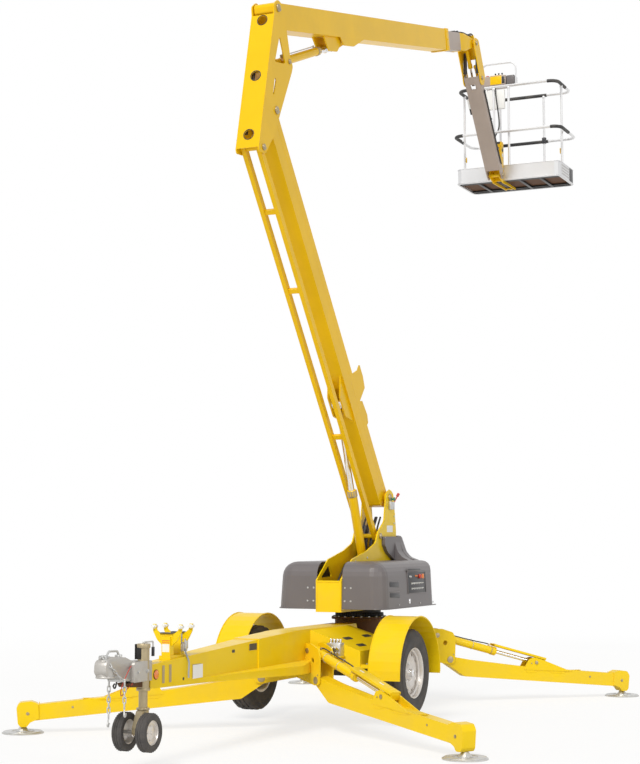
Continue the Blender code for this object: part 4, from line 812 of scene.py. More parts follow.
def booms():
    """Inner boom's tube and yellow nose, wear pads, hoses and clamps on the booms."""
    half = 0.072
    top, low = 0.032, -0.156
    tube_shell = [block((0.90, 4.60), (-half, half), (low, top), 0.008, 3)]
    bore = block((0.80, 4.588), (-half + 0.006, half - 0.006), (low + 0.006, top - 0.006))
    add("inner_tube", "inner_boom", JIB_GREY, tube_shell, UPPER, ("inner_boom",), cuts=[bore])
    centre = TIP_Z
    nose = [(4.575, low + 0.002, 0.004), (4.74, low + 0.002, 0.03), (5.06, centre - 0.038, 0.035),
            (5.085, centre, 0.02), (5.06, centre + 0.038, 0.035), (4.74, top - 0.002, 0.03),
            (4.575, top - 0.002, 0.004)]
    cheeks = pair(nose, 0.014, half - 0.0078, holes=[circle(TIP_REACH, centre, 0.0208)], edge=0.0015)
    cheeks.append(block((4.590, 4.598), (-half + 0.002, half - 0.002), (low + 0.004, top - 0.004), 0.001))
    cheeks.append(block((4.62, 4.80), (-0.058, 0.058), (low + 0.006, low + 0.014), 0.002))
    for side in (-1, 1):
        cheeks.append(bar(0.038, TIP_REACH, (side * 0.0585, side * 0.0745), centre, 32, bevel=0.002))
    eye_holes = [bar(0.0208, TIP_REACH, (-0.2, 0.2), centre, 32)]
    add("inner_nose", "inner_boom", YELLOW_BOOMS_SHADED, cheeks, cuts=eye_holes)
    collar = [block((4.10, 4.178), (-0.088, 0.088), (z, z + 0.0065), 0.0015) for z in (-0.177, 0.0455)]
    for side in (-1, 1):
        y = side * 0.0855
        collar.append(block((4.10, 4.178), between(y, y + side * 0.006), (-0.176, 0.051), 0.0015))
        for z in (-0.14, -0.062, 0.018):
            collar += bolt((4.14, side * 0.0915, z), (0, side, 0), 0.0065)
    add("mouth_collar", "upper_boom", YELLOW_BOOMS_SHADED, collar)
    pads = [block((4.150, 4.176), (-0.070, 0.070), (0.0326, 0.0384), 0.001),
            block((4.150, 4.176), (-0.070, 0.070), (-0.1624, -0.1566), 0.001)]
    add("mouth_wear_pads", "upper_boom", LABEL, pads)

    loops = []
    for y in (-0.035, -0.012, 0.011, 0.034):
        loops.append(flowing([(4.55, y, 0.040), (4.66, y, 0.0425), (4.80, y, 0.0445), (4.91, y, 0.034),
                              (4.996, y, 0.022)], 0.0076))
    add("tip_hoses", "inner_boom", HOSE, loops)
    clamp = [block((4.60, 4.625), (-0.048, 0.048), (0.032, 0.056), 0.002),
             block((4.50, 4.52), (-0.048, 0.048), (0.032, 0.052), 0.002)]
    add("tip_hose_clamps", "inner_boom", PANEL, clamp)

    add("lower_boom_hoses", "lower_boom", HOSE,
        [hose([((0.35, y, z), 0), ((3.55, y, z), 0)], 0.006, resolution=3)
         for y, z in ((0.062, 0.053), (0.044, 0.053), (-0.060, 0.053))])
    clips = []
    for place in (0.55, 1.45, 2.15, 2.85, 3.45):
        clips.append(block((place, place + 0.022), (0.034, 0.072), (0.0462, 0.0605), 0.002))
        clips.append(block((place, place + 0.022), (-0.070, -0.050), (0.0462, 0.0605), 0.002))
    add("lower_boom_clips", "lower_boom", PANEL, clips)
    seams = [block((0.10, 3.74), (side * 0.0797 - 0.001, side * 0.0797 + 0.001), (-0.020, -0.014), 0.0005)
             for side in (-1, 1)]
    for side in (-1, 1):
        seams.append(plate(circle(BOOM_REACH, 0.0, 0.052, 36), 0.004, side * 0.0800,
                           holes=[circle(BOOM_REACH, 0, 0.026)],
                           edge=0.001))
        seams.append(plate(circle(0.0, 0.0, 0.052, 36), 0.002, side * 0.0803, holes=[circle(0, 0, 0.026)]))
    add("lower_boom_seams", "lower_boom", YELLOW_BOOMS_SHADED, seams)
    add("lower_boom_bare_plates", "lower_boom", YELLOW_BOOMS_SHADED,
        [on_sheet((0.62, 0.98), side * 0.0806, (-0.115, -0.035)) for side in (-1, 1)])

    for matrix, body, name, at, gland in (
        (LIFT_BARREL, "lift_barrel", "lift", 1.045, 0.040),
        (UPPER_BARREL, "upper_barrel", "upper", 0.85, 0.036),
    ):
        fittings = [
            bar(gland + 0.0035, (at - 0.060, at - 0.002), 0, 0, 36, bevel=0.003),
            bar(gland + 0.0048, (at - 0.052, at - 0.046), 0, 0, 36, bevel=0.001),
            bar(gland + 0.0015, (0.055, 0.075), 0, 0, 36, bevel=0.002),
            block((0.10, 0.155), (-0.020, 0.020), (gland - 0.004, gland + 0.022), 0.003),
            *fluid_end((0.128, 0.0, gland + 0.020), (0, 0, 1), 0.009)[:2],
            *fluid_end((at - 0.085, 0.0, gland - 0.002), (0, 0, 1), 0.009)[:2],
        ]
        add(f"{name}_barrel_fittings", body, GOLD_ZINC, fittings, matrix)
        line = hose([((0.150, 0.010, gland + 0.012), 0), ((0.20, 0.010, gland + 0.010), 0.02),
                     ((at - 0.11, 0.010, gland + 0.010), 0.02), ((at - 0.085, 0.0, gland + 0.014), 0)],
                    0.0045)
        add(f"{name}_barrel_line", body, ZINC, [line], matrix)


def riser_fittings():
    """Riser: grommets in its front plate, hose drops and the bars that hold them."""
    lean = atan2(0.314 - 0.044, 0.789 + 0.366)
    length = hypot(0.270, 1.155)
    front = RISER @ placed((0.314, 0, -0.366), -lean, "Y")
    add("riser_grommets", "riser", HOSE, [ring(0.0435, 0.003, (0.0005, 0.0, length * share), "X", 36)
                                          for share in (0.10, 0.535, 0.955)], front)
    drops = []
    for k, y in enumerate((-0.052, -0.036, 0.036, 0.052)):
        drops.append(flowing([(0.245, y, -0.24), (0.190, y, -0.05), (0.135, y, 0.20), (0.078, y, 0.45),
                              (0.050, y, 0.60), (0.040, y, 0.66 + 0.004 * k)], 0.0065))
    add("riser_hoses", "riser", HOSE, drops)
    bars = [block((0.080, 0.100), (-0.091, 0.091), (0.30, 0.314), 0.002),
            block((0.150, 0.170), (-0.091, 0.091), (0.05, 0.064), 0.002)]
    add("riser_hose_bars", "riser", YELLOW_BOOMS_SHADED, bars)


def cover_fittings():
    """Side covers: rims, bolts, handle recesses and louvre slots shown as black sheets of painted shade,
    latches and the ground controls.
    """
    for side, name in ((1, "left"), (-1, "right")):
        corner = [(x, side * y, 0.935)
                  for x, y in ((0.5600, 0.4990), (0.6050, 0.4880), (0.6400, 0.4540), (0.6570, 0.4000))]
        rim = [block((-0.590, 0.560), between(side * 0.494, side * 0.5035), (0.9305, 0.9395), 0.003),
               block((0.6515, 0.6625), between(side * 0.125, side * 0.40), (0.9305, 0.9395), 0.003),
               flowing(corner, 0.0048, 5)]
        add(f"cover_{name}_rim", "turret", COVER, rim)
        heads = []
        for y in (0.145, 0.200):
            for z in (1.11, 1.00):
                x = 0.6405 + 0.02 * (1.33 - z) / 0.40
                heads += bolt((x, side * y, z), (1, 0, 0), 0.0055)
        for x in (0.30, -0.20, -0.52):
            heads += bolt((x, side * (0.4805 + 0.02 * (1.33 - 0.96) / 0.40), 0.96), (0, side, 0), 0.0055)
        add(f"cover_{name}_bolts", "turret", ZINC, heads)
        lean = placed((0, side * 0.4905, 1.13), side * 0.05, "X")
        # Black plates in the handle recesses and under the handle lip: painted shade.
        recess = [plate([(0.500, -0.012, 0.010), (0.500, 0.030, 0.012), (0.290, 0.022, 0.012),
                         (0.290, -0.018, 0.010)],
                        0.0025, 0.0, edge=0.0006),
                  plate([(0.500, -0.100, 0.010), (0.500, -0.060, 0.012), (0.280, -0.072, 0.012),
                         (0.280, -0.108, 0.010)],
                        0.0025, 0.0, edge=0.0006)]
        add(f"cover_{name}_recesses", "turret", PANEL, recess, MACHINE @ lean)
        lips = [block((0.275, 0.505), (-0.004, 0.004), (-0.058, -0.051), 0.002),
                block((0.285, 0.500), (-0.004, 0.004), (0.030, 0.036), 0.002)]
        add(f"cover_{name}_handle", "turret", COVER, lips, MACHINE @ lean)
        latch = [plate([(0.075, -0.165, 0.006), (0.075, -0.125, 0.006), (0.035, -0.125, 0.006),
                        (0.035, -0.165, 0.006)],
                       0.006, 0.0, edge=0.001),
                 bar(0.008, 0.055, (-0.006, 0.006), -0.145, 20)]
        add(f"cover_{name}_latch", "turret", CHROME, latch, MACHINE @ lean)
        if side > 0:
            ground_controls(lean)
        else:
            # Black bars in the louvre slots: painted shade inside them.
            add("cover_right_louvres", "turret", PANEL,
                [block((-0.45 + 0.05 * k, -0.425 + 0.05 * k), (-0.003, 0.003), (-0.06, 0.06), 0.001)
                 for k in range(7)], MACHINE @ lean)
            seams = [block((x - 0.0015, x + 0.0015), between(side * 0.482, side * 0.4995), (0.95, 1.205),
                           0.0005)
                     for x in (0.16, -0.30)]
            add("cover_right_seams", "turret", PANEL, seams)


def ground_controls(lean):
    """Ground control panel on the left cover."""
    place = MACHINE @ lean
    add("ground_panel", "turret", PANEL, [block((-0.345, 0.080), (-0.002, 0.0035), (-0.075, 0.105), 0.002)],
        place)
    border = [
        block((-0.350, 0.085), (-0.001, 0.006), (0.103, 0.109), 0.002),
        block((-0.350, 0.085), (-0.001, 0.006), (-0.082, -0.075), 0.002),
        block((-0.353, -0.346), (-0.001, 0.006), (-0.08, 0.107), 0.002),
        block((0.080, 0.087), (-0.001, 0.006), (-0.08, 0.107), 0.002),
        block((-0.245, 0.085), (-0.001, 0.0055), (0.112, 0.140), 0.003),
    ]
    add("ground_panel_border", "turret", COVER, border, place)
    add("ground_panel_slot", "turret", PANEL,
        [block((-0.225, 0.070), (0.004, 0.0065), (0.120, 0.133), 0.001)], place)
    stops = [bar(0.020, -0.20, (0.003, 0.016), 0.065, 28, bevel=0.003),
             bar(0.011, -0.20, (0.014, 0.022), 0.065, 24, end_radius=0.014)]
    add("ground_stop_button", "turret", KNOB_RED, stops, place)
    lamps = [bar(0.008, -0.135, (0.003, 0.009), 0.070, 20, bevel=0.001),
             bar(0.008, -0.105, (0.003, 0.009), 0.070, 20, bevel=0.001),
             block((-0.31, -0.265), (0.003, 0.008), (0.045, 0.085), 0.002)]
    add("ground_lamps", "turret", KNOB_ORANGE, lamps, place)
    toggles = []
    bases = []
    for x in (-0.25, -0.19, -0.13, -0.07, -0.01):
        for z in (0.005, -0.040):
            bases.append(bar(0.010, x, (0.003, 0.006), z, 18))
            toggles.append(rod(0.003, (x, 0.005, z), (x + 0.002, 0.020, z + 0.004), 12, end_radius=0.0045))
    add("ground_switch_collars", "turret", ZINC, bases, place)
    add("ground_switches", "turret", LABEL, toggles, place)
    key = [bar(0.011, 0.035, (0.003, 0.010), 0.065, 24, bevel=0.001),
           block((0.030, 0.040), (0.008, 0.022), (0.058, 0.072), 0.002)]
    add("ground_key_switch", "turret", ZINC, key, place)


def turret_fittings():
    """Hoses, valve knobs, bolts and plates on the turret's mast, and the slewing motor."""
    bundle = []
    for k, (y, x) in enumerate(((-0.060, -0.02), (-0.036, -0.05), (-0.012, -0.03), (0.014, -0.06),
                                (0.040, -0.03), (0.066, -0.05))):
        bundle.append(flowing([(x - 0.05, y, 1.15), (x - 0.13, y * 0.95, 1.38), (x - 0.20, y, 1.60),
                               (x - 0.27 - 0.006 * k, y * 0.9, 1.72)], 0.0085))
    add("turret_hoses", "turret", HOSE, bundle)
    # Black sheet inside the turret between the boom foot and the tie link: painted shade.
    shade = [plate([(-0.06, 1.10, 0.02), (-0.18, 1.42, 0.03), (-0.30, 1.66, 0.03), (-0.36, 1.64, 0.02),
                    (-0.40, 1.20, 0.02)],
                   0.010, -0.085)]
    add("turret_painted_shade", "turret", PANEL, shade)
    green = [bar(0.016, -0.455, (0.119, 0.131), 1.885, 24, bevel=0.003),
             bar(0.008, -0.455, (0.130, 0.150), 1.885, 18),
             bar(0.017, -0.455, (0.148, 0.162), 1.885, 24, bevel=0.004)]
    add("mast_valve_block", "turret", ZINC, [block((-0.50, -0.40), (0.1185, 0.140), (1.790, 1.860), 0.003)])
    add("mast_green_knob", "turret", KNOB_GREEN, green)
    red = [rod(0.006, (-0.545, 0.119, 1.86), (-0.585, 0.135, 1.92), 16),
           rod(0.013, (-0.580, 0.133, 1.913), (-0.598, 0.140, 1.938), 24, bevel=0.004)]
    add("mast_red_knob", "turret", KNOB_RED, red)
    add("mast_bare_plate", "turret", LABEL, [on_sheet((-0.50, -0.36), 0.1187, (1.585, 1.645))])
    add("mast_tag_plate", "turret", YELLOW, [on_sheet((-0.56, -0.40), 0.1186, (1.67, 1.76))])
    heads = []
    for x, z in ((-0.535, 1.665), (-0.535, 1.73), (0.55, 0.955), (0.10, 1.36), (0.36, 1.33)):
        for side in (-1, 1):
            heads += bolt((x, side * 0.118, z), (0, side, 0), 0.0065)
    add("mast_bolts", "turret", ZINC, heads)
    front = [block((0.6702, 0.6735), (-0.112, 0.112), (1.158, 1.172), 0.001),
             block((0.6702, 0.6735), (-0.112, -0.104), (0.925, 1.160), 0.001),
             block((0.6702, 0.6735), (0.104, 0.112), (0.925, 1.160), 0.001)]
    add("turret_front_flanges", "turret", YELLOW, front)
    swing = []
    for side in (-1, 1):
        y = side * 0.093
        swing.append(hose([((0.30, y, 0.930), 0), ((0.30, y, 1.12), 0.05), ((0.10, y, 1.30), 0.06),
                           ((-0.10, y, 1.33), 0)], 0.009))
    add("turret_lines", "turret", HOSE, swing)
    motor = [bar(0.055, 0.42, 0.0, (0.926, 1.06), 36, bevel=0.004),
             bar(0.040, 0.42, 0.0, (1.055, 1.12), 32, bevel=0.004),
             block((0.36, 0.48), (-0.06, 0.06), (0.926, 0.945), 0.003)]
    add("slew_motor", "turret", BLACK, motor)


def slew_ring():
    """Toothed slewing ring on a pedestal painted brown as shade."""
    teeth = []
    for k in range(60):
        a = 2 * pi * k / 60
        tooth = block((0.195, 0.2135), (-0.0055, 0.0055), (0.8475, 0.8780), 0.0012, 1)
        teeth.append(moved(tooth, Matrix.Rotation(a, 4, "Z")))
    ring_body = [bar(0.200, 0, 0, (0.8455, 0.8795), 72, bevel=0.002),
                 bar(0.190, 0, 0, (0.8790, 0.9050), 72, bevel=0.001)]
    add("slew_ring_toothed", "chassis", BLACK, [*ring_body, *teeth], replaces=("slew_bearing",))
    upright = Matrix.Rotation(pi / 2, 4, "X")
    flange = lathe([(0.2452, 0.0), (0.2462, 0.002), (0.2462, 0.019), (0.2452, 0.021)], 72)
    bolts = []
    for k in range(20):
        a = 2 * pi * (k + 0.5) / 20
        bolts += bolt((0.229 * cos(a), 0.229 * sin(a), 0.845), (0, 0, 1), 0.0085)
    add("pedestal_bolts", "chassis", ZINC, bolts)
    # Pedestal edge, seams and shell in brown: painted shade on the yellow pedestal under the turret.
    add("pedestal_edge", "chassis", BROWN_PRIMER_AND_SHADE, [moved(flange, Matrix.Translation((0, 0, 0.8235)) @ upright)])
    add("pedestal_seams", "chassis", BROWN_PRIMER_AND_SHADE,
        [bar(0.2158, 0, 0, (z - 0.0005, z + 0.0005), 72) for z in (0.800, 0.822)])
    shell = lathe([(0.2150, 0.0), (0.2163, 0.0), (0.2163, 0.1215), (0.2150, 0.1215)], 72)
    add("pedestal_painted_shade", "chassis", BROWN_PRIMER_AND_SHADE, [moved(shell, Matrix.Translation((0, 0, 0.7005)) @ upright)])


def drawbar_fittings():
    """Drawbar: openings painted dark as shade, reflectors, bare plates, straps and a brown keel sheet of
    painted shade.
    """
    def side_y(x):
        """The drawbar's half width, which tapers from its root to its front."""
        return 0.055 + (3.725 - x) * (0.115 - 0.055) / (3.725 - 1.60)

    # Black sheets paint the shade inside the drawbar's openings.
    dark = []
    for side in (-1, 1):
        for x0, x1, z0, z1, soft in ((2.20, 2.345, 0.688, 0.742, 0.010), (2.555, 2.600, 0.690, 0.712, 0.010),
                                     (1.970, 2.010, 0.640, 0.672, 0.012)):
            dark.append(plate(soft_rectangle((x0, x1), (z0, z1), soft), 0.0022,
                              side * (side_y((x0 + x1) / 2) + 0.0006)))
        dark.append(plate(circle(3.292, 0.555, 0.011, 20), 0.002, side * (side_y(3.292) + 0.0006)))
    add("drawbar_openings_painted_shade", "chassis", PANEL, dark)
    rims = []
    for side in (-1, 1):
        y = side * (side_y((2.20 + 2.345) / 2) + 0.001)
        path = [((x, y, z), soft) for x, z, soft in soft_rectangle((2.20, 2.345), (0.688, 0.742), 0.010)]
        rims.append(hose(path, 0.0022, True, 3))
    add("drawbar_opening_rims", "chassis", YELLOW, rims)
    reflectors = []
    backs = []
    for side in (-1, 1):
        y = side * (side_y(3.655) + 0.0005)
        reflectors.append(bar(0.030, 3.655, (y, y + side * 0.006), 0.610, 36, bevel=0.002))
        backs.append(bar(0.034, 3.655, (y - side * 0.001, y + side * 0.003), 0.610, 36, bevel=0.001))
    add("drawbar_reflectors", "chassis", AMBER, reflectors)
    add("reflector_backs", "chassis", BROWN_PRIMER_AND_SHADE, backs)
    bare = []
    edges = []
    for side in (-1, 1):
        y = side * (side_y(3.095) + 0.0014)
        bare.append(on_sheet((3.020, 3.170), y, (0.545, 0.640)))
        edges.append(on_sheet((3.016, 3.174), y - side * 0.0006, (0.638, 0.645)))
        for x in (3.560, 3.470):
            y = side * (side_y(x) + 0.0014)
            edges.append(on_sheet((x - 0.016, x + 0.016), y, (0.545, 0.665)))
    add("drawbar_bare_plates", "chassis", LABEL, bare)
    add("drawbar_straps", "chassis", GOLD_ZINC, edges)
    # Brown sheet under the keel: painted shade on the spine's underside.
    add("keel_painted_shade", "chassis", BROWN_PRIMER_AND_SHADE, [block((1.30, 1.62), (-0.17, 0.17), (0.4575, 0.4625), 0.001)])


def chassis_fittings():
    """Front manifold with its hoses, frame openings painted dark as shade, tail lamps, fender beads and
    brake drums.
    """
    add("manifold_block", "chassis", ZINC, [block((1.195, 1.275), (0.255, 0.375), (0.585, 0.690), 0.004)])
    stems = []
    for y in (0.275, 0.303, 0.331, 0.358):
        stems += [bar(0.011, 1.235, y, (0.689, 0.722), 20, bevel=0.002),
                  bar(0.0125, (1.274, 1.300), y, 0.650, 6, bevel=0.001),
                  bar(0.009, (1.274, 1.292), y, 0.610, 6, bevel=0.001)]
    add("manifold_cartridges", "chassis", CHROME, stems)
    shelf = [block((1.150, 1.285), (0.12, 0.385), (0.579, 0.5855), 0.001),
             block((1.150, 1.285), (0.12, 0.126), (0.50, 0.585), 0.001)]
    add("manifold_shelf", "chassis", YELLOW, shelf)
    feeds = []
    for k, y in enumerate((0.275, 0.303, 0.331)):
        feeds.append(flowing([(1.295, y, 0.650), (1.316, y, 0.636), (1.318, y - 0.02, 0.596),
                              (1.300, y - 0.07, 0.560), (1.24 + 0.014 * k, 0.128, 0.545)], 0.006))
    add("manifold_hoses", "chassis", HOSE, feeds)
    # Black plates paint the shade inside the frame's sloped openings.
    slots = []
    for side in (-1, 1):
        for x, y in ((0.55, 0.300), (0.95, 0.300), (0.55, 0.420), (0.95, 0.420)):
            dark = plate(soft_rectangle((-0.075, 0.075), (-0.022, 0.022), 0.015), 0.002, 0.0, "xy")
            z = 0.795 - (y - 0.10) * 0.425 + 0.0006
            slope = placed((x, side * y, z), -side * atan2(0.170, 0.40), "X")
            slots.append(moved(dark, slope))
    add("frame_openings_painted_shade", "chassis", PANEL, slots)
    lamps = []
    shells = []
    for side in (-1, 1):
        shells.append(block((-1.085, -1.06), between(side * 0.115, side * 0.235), (0.50, 0.58), 0.004))
        lamps.append(block((-1.098, -1.083), between(side * 0.120, side * 0.230), (0.505, 0.575), 0.003))
    shells.append(block((-1.065, -0.99), (-0.24, 0.24), (0.505, 0.520), 0.003))
    add("tail_lamp_shells", "chassis", BLACK, shells)
    add("tail_lamps", "chassis", AMBER, lamps)
    for side, name in ((1, "left"), (-1, "right")):
        edge = []
        for y in (0.568, 0.840):
            arc = [(AXLE[0] + FENDER_RADIUS * cos(a), side * y, AXLE[1] + FENDER_RADIUS * sin(a))
                   for a in (radians(-2 + 184 * k / 40) for k in range(41))]
            edge.append(curve_mesh({"bevel_depth": 0.0042, "bevel_resolution": 2, "use_fill_caps": True},
                                   [(arc, False)]))
        add(f"fender_{name}_beads", "chassis", YELLOW, edge)
        stays = []
        for x in (AXLE[0] - 0.40, AXLE[0] + 0.40):
            for k in (0, 1):
                stays += bolt((x + 0.022 * (1 if x < AXLE[0] else -1), side * (0.522 + 0.030 * k), 0.5165),
                              (0, 0, 1), 0.007)
        add(f"fender_{name}_bolts", "chassis", ZINC, stays)
        hub_side = [bar(0.060, AXLE[0], (side * 0.552, side * 0.6045), AXLE[1], 40, bevel=0.003),
                    bar(0.110, AXLE[0], (side * 0.600, side * 0.612), AXLE[1], 48, bevel=0.002)]
        add(f"brake_{name}_drum", "chassis", BLACK, hub_side)


def chain_links(x, y, top, count):
    """Round-wire links, each turned a quarter to the one above."""
    links = []
    for k in range(count):
        path = [((0.009, 0.0, 0.021), 0.0088), ((-0.009, 0.0, 0.021), 0.0088),
                ((-0.009, 0.0, -0.021), 0.0088), ((0.009, 0.0, -0.021), 0.0088)]
        link = hose(path, 0.0042, True, 3)
        turn = Matrix.Rotation(radians(20 + 90 * k), 4, "Z")
        links.append(moved(link, Matrix.Translation((x, y, top - 0.0345 * k - 0.004)) @ turn))
    return links


def coupler_fittings():
    """Coupler: cast head with latch, side plates, hitch chains with hooks and the breakaway wire."""
    x = COUPLER_BACK
    jack_hole = ((*JACK, 0.4), (*JACK, 0.9))
    box_side = [(x, 0.578, 0.004), (x, 0.711, 0.004), (x + 0.235, 0.714, 0.02), (x + 0.235, 0.578, 0.012)]
    add("coupler_channel", "chassis", CASTING, [plate(box_side, 0.138, 0.0, edge=0.003)],
        cuts=[rod(0.0404, *jack_hole, 48)])
    # Brown plate under the coupler channel: painted shade on its underside.
    under = [plate([(x + 0.002, 0.532, 0.004), (x + 0.002, 0.577, 0.002), (x + 0.265, 0.577, 0.004),
                    (x + 0.24, 0.549, 0.01)],
                   0.092, 0.0, edge=0.002)]
    add("coupler_tongue_painted_shade", "chassis", BROWN_PRIMER_AND_SHADE, under, cuts=[rod(0.0404, *jack_hole, 48)])
    head = [
        plate([(x + 0.20, 0.585, 0.01), (x + 0.20, 0.716, 0.02), (x + 0.30, 0.750, 0.03),
               (x + 0.45, 0.763, 0.05), (x + 0.545, 0.735, 0.04), (x + 0.552, 0.665, 0.03),
               (x + 0.53, 0.642, 0.01), (x + 0.40, 0.632, 0.02), (x + 0.34, 0.600, 0.01)], 0.094, 0.0,
              edge=0.008),
        bar(0.0585, x + 0.485, 0, (0.628, 0.745), 44, end_radius=0.046, bevel=0.008),
        bar(0.062, x + 0.485, 0, (0.6255, 0.640), 44, bevel=0.004),
    ]
    socket = bar(0.030, x + 0.485, 0, (0.60, 0.690), 32)
    add("coupler_head", "chassis", CASTING, head, replaces=("coupler",), cuts=[socket])
    lever = [
        hose([((x + 0.31, 0.0, 0.752), 0), ((x + 0.34, 0.0, 0.792), 0.015), ((x + 0.44, 0.0, 0.796), 0.015),
              ((x + 0.475, 0.0, 0.765), 0)], 0.0075),
        block((x + 0.30, x + 0.345), (-0.017, 0.017), (0.742, 0.768), 0.004),
        block((x + 0.45, x + 0.50), (-0.014, 0.014), (0.744, 0.768), 0.004),
        bar(0.006, x + 0.322, (-0.024, 0.024), 0.757, 16, bevel=0.001),
        bar(0.0075, x + 0.485, 0, (0.745, 0.774), 6),
    ]
    for place in (0.060, 0.180):
        for side in (1, -1):
            lever += bolt((x + place, side * 0.069, 0.645), (0, side, 0), 0.010)
    add("coupler_latch", "chassis", ZINC, lever)
    chains = [block((x + 0.327, x + 0.353), (-0.064, 0.064), (0.592, 0.612), 0.004)]
    chains += chain_links(x + 0.34, -0.060, 0.582, 7)
    chains += chain_links(x + 0.34, 0.060, 0.582, 5)
    for side, z in ((-1, 0.352), (1, 0.421)):
        hook = [((x + 0.34, side * 0.060, z), 0), ((x + 0.345, side * 0.062, z - 0.030), 0.010),
                ((x + 0.352, side * 0.064, z - 0.052), 0.012), ((x + 0.332, side * 0.064, z - 0.054), 0.010),
                ((x + 0.326, side * 0.062, z - 0.030), 0)]
        chains.append(hose(hook, 0.0055, False, 3))
    slung = [(x + 0.34, -0.052, 0.598), (x + 0.40, -0.040, 0.625), (x + 0.45, -0.060, 0.700),
             (x + 0.50, -0.030, 0.765), (x + 0.53, 0.010, 0.770), (x + 0.50, 0.055, 0.70),
             (x + 0.42, 0.062, 0.640), (x + 0.36, 0.058, 0.600)]
    for a, b in zip(slung, slung[1:]):
        start, end = Vector(a), Vector(b)
        count = max(1, round((end - start).length / 0.030))
        for k in range(count):
            at = start.lerp(end, (k + 0.5) / count)
            link = hose([((0.0, 0.007, 0.016), 0.0068), ((0.0, -0.007, 0.016), 0.0068),
                         ((0.0, -0.007, -0.016), 0.0068), ((0.0, 0.007, -0.016), 0.0068)], 0.0036, True, 2)
            along = Vector((0, 0, 1)).rotation_difference((end - start).normalized()).to_matrix().to_4x4()
            turn = along @ Matrix.Rotation(pi / 2 * (k % 2) + 0.4, 4, "Z")
            chains.append(moved(link, Matrix.Translation(at) @ turn))
    add("hitch_chains", "chassis", ZINC, chains)
    wire = [flowing([(x + 0.235, 0.045, 0.690), (x + 0.30, 0.060, 0.655), (x + 0.36, 0.050, 0.560),
                     (x + 0.33, 0.030, 0.500), (x + 0.26, 0.036, 0.545), (x + 0.22, 0.050, 0.572)], 0.003)]
    add("breakaway_wire", "chassis", KNOB_RED, wire)
    socket_lead = [flowing([(x + 0.01, -0.062, 0.700), (x + 0.10, -0.075, 0.690), (x + 0.20, -0.072, 0.620),
                            (x + 0.26, -0.060, 0.545), (x + 0.31, -0.045, 0.560), (x + 0.30, -0.040, 0.575)],
                           0.0055)]
    add("lighting_lead", "chassis", HOSE, socket_lead)


def jack_fittings():
    """Jockey jack: mast with crank, sliding tube, fork bolts, twin tyres and rims."""
    x, y = JACK
    mast = [
        bar(0.040, x, y, (0.512, 0.806), 44, bevel=0.001),
        bar(0.0465, x, y, (0.5125, 0.529), 44, bevel=0.002),
        bar(0.0462, x, y, (0.795, 0.8245), 44, bevel=0.004),
    ]
    bore = bar(0.0308, x, y, (0.4, 0.785), 40)
    add("jack_mast_tube", "chassis", GOLD_ZINC, mast, replaces=("jack_mast",), cuts=[bore])
    cheeks = [block((x - 0.030, x + 0.030), (y - 0.052, y - 0.044), (0.720, 0.822), 0.002),
              block((x + 0.034, x + 0.046), (y - 0.030, y + 0.006), (0.722, 0.800), 0.003)]
    add("jack_dark_cheek", "chassis", BLACK, cheeks)
    crank = [bar(0.008, x, y, (0.8235, 0.838), 18, bevel=0.001),
             hose([((x, y, 0.834), 0), ((x - 0.10, y + 0.015, 0.834), 0.008),
                   ((x - 0.10, y + 0.015, 0.790), 0)], 0.0055)]
    add("jack_crank", "chassis", ZINC, crank)
    add("jack_grip", "chassis", PANEL, [bar(0.011, x - 0.10, y + 0.015, (0.798, 0.735), 24, bevel=0.003)])
    tube_body = [
        bar(0.0298, 0, 0, (0.142, 0.418), 40),
        bar(0.0445, 0, 0, (0.139, 0.153), 40, bevel=0.002),
        bar(0.0118, 0, 0, (0.062, 0.150), 24),
        bar(0.0195, 0, 0, (0.0458, 0.0612), 6, bevel=0.001),
    ]
    slide = MACHINE @ Matrix.Translation((x, y, JOCKEY_Z))
    add("jack_tube_chromed", "jack", GOLD_ZINC, tube_body, slide, ("jack_tube",))
    sides = 48
    # Radius and distance from the middle plane, from the bead to the middle of the tread
    tyre_half = [(0.0815, 0.030), (0.084, 0.0355), (0.100, 0.0372), (0.117, 0.0366), (0.1255, 0.029),
                 (0.1292, 0.018), (0.1292, 0.011), (0.1262, 0.0095), (0.1262, 0.0065), (0.1295, 0.005)]
    tyres = []
    rims = []
    for side in (-1, 1):
        m = side * 0.090
        tyres.append(lathe(both_ways(tyre_half, m), sides))
        disc = [(r, m + y * side)
                for r, y in ((0.060, 0.012), (0.040, 0.016), (0.026, 0.022), (0.0125, 0.022))]
        rims.append(lathe([(0.0812, m - 0.029), (0.0812, m + 0.029), (0.0775, m + 0.029), (0.074, m + 0.020),
                           *((r, y + 0.006) for r, y in disc), *((r, y - 0.006) for r, y in reversed(disc)),
                           (0.074, m - 0.020), (0.0775, m - 0.029)], sides))
        for k in range(5):
            a = 2 * pi * k / 5
            rims += bolt((0.050 * cos(a), m + 0.014 * side + side * 0.006, 0.050 * sin(a)), (0, side, 0),
                         0.0045, False)
        rims.append(bar(0.0145, 0, (m + side * 0.026, m + side * 0.0315), 0, 28, bevel=0.002))
    tread = []
    for side in (-1, 1):
        for k in range(36):
            a = 2 * pi * k / 36
            lug = block((0.1268, 0.1298), (-0.0055, 0.0055), (-0.0035, 0.0035), 0.0008, 1)
            for offset in (-0.0225, 0.0225):
                place = Matrix.Rotation(a, 4, "Y") @ Matrix.Translation((0, side * 0.090 + offset, 0))
                tread.append(moved(lug.copy(), place))
    axle_at = joint_frame("jockey_roll")
    add("jockey_tyres", "jockey_wheel_pair", TYRE, [*tyres, *tread], axle_at, ("jockey_wheels",))
    add("jockey_rims", "jockey_wheel_pair", RIM, rims, axle_at)
    add("jockey_axle", "jockey_wheel_pair", ZINC, [bar(0.0118, 0, (-0.1195, 0.1195), 0, 28, bevel=0.002)],
        axle_at)
    heads = []
    for side in (-1, 1):
        heads += bolt((0.030, side * 0.0262, 0.075), (0, side, 0), 0.006, False)
    add("jockey_fork_bolts", "jockey_swivel", ZINC, heads, joint_frame("jockey_swivel"))


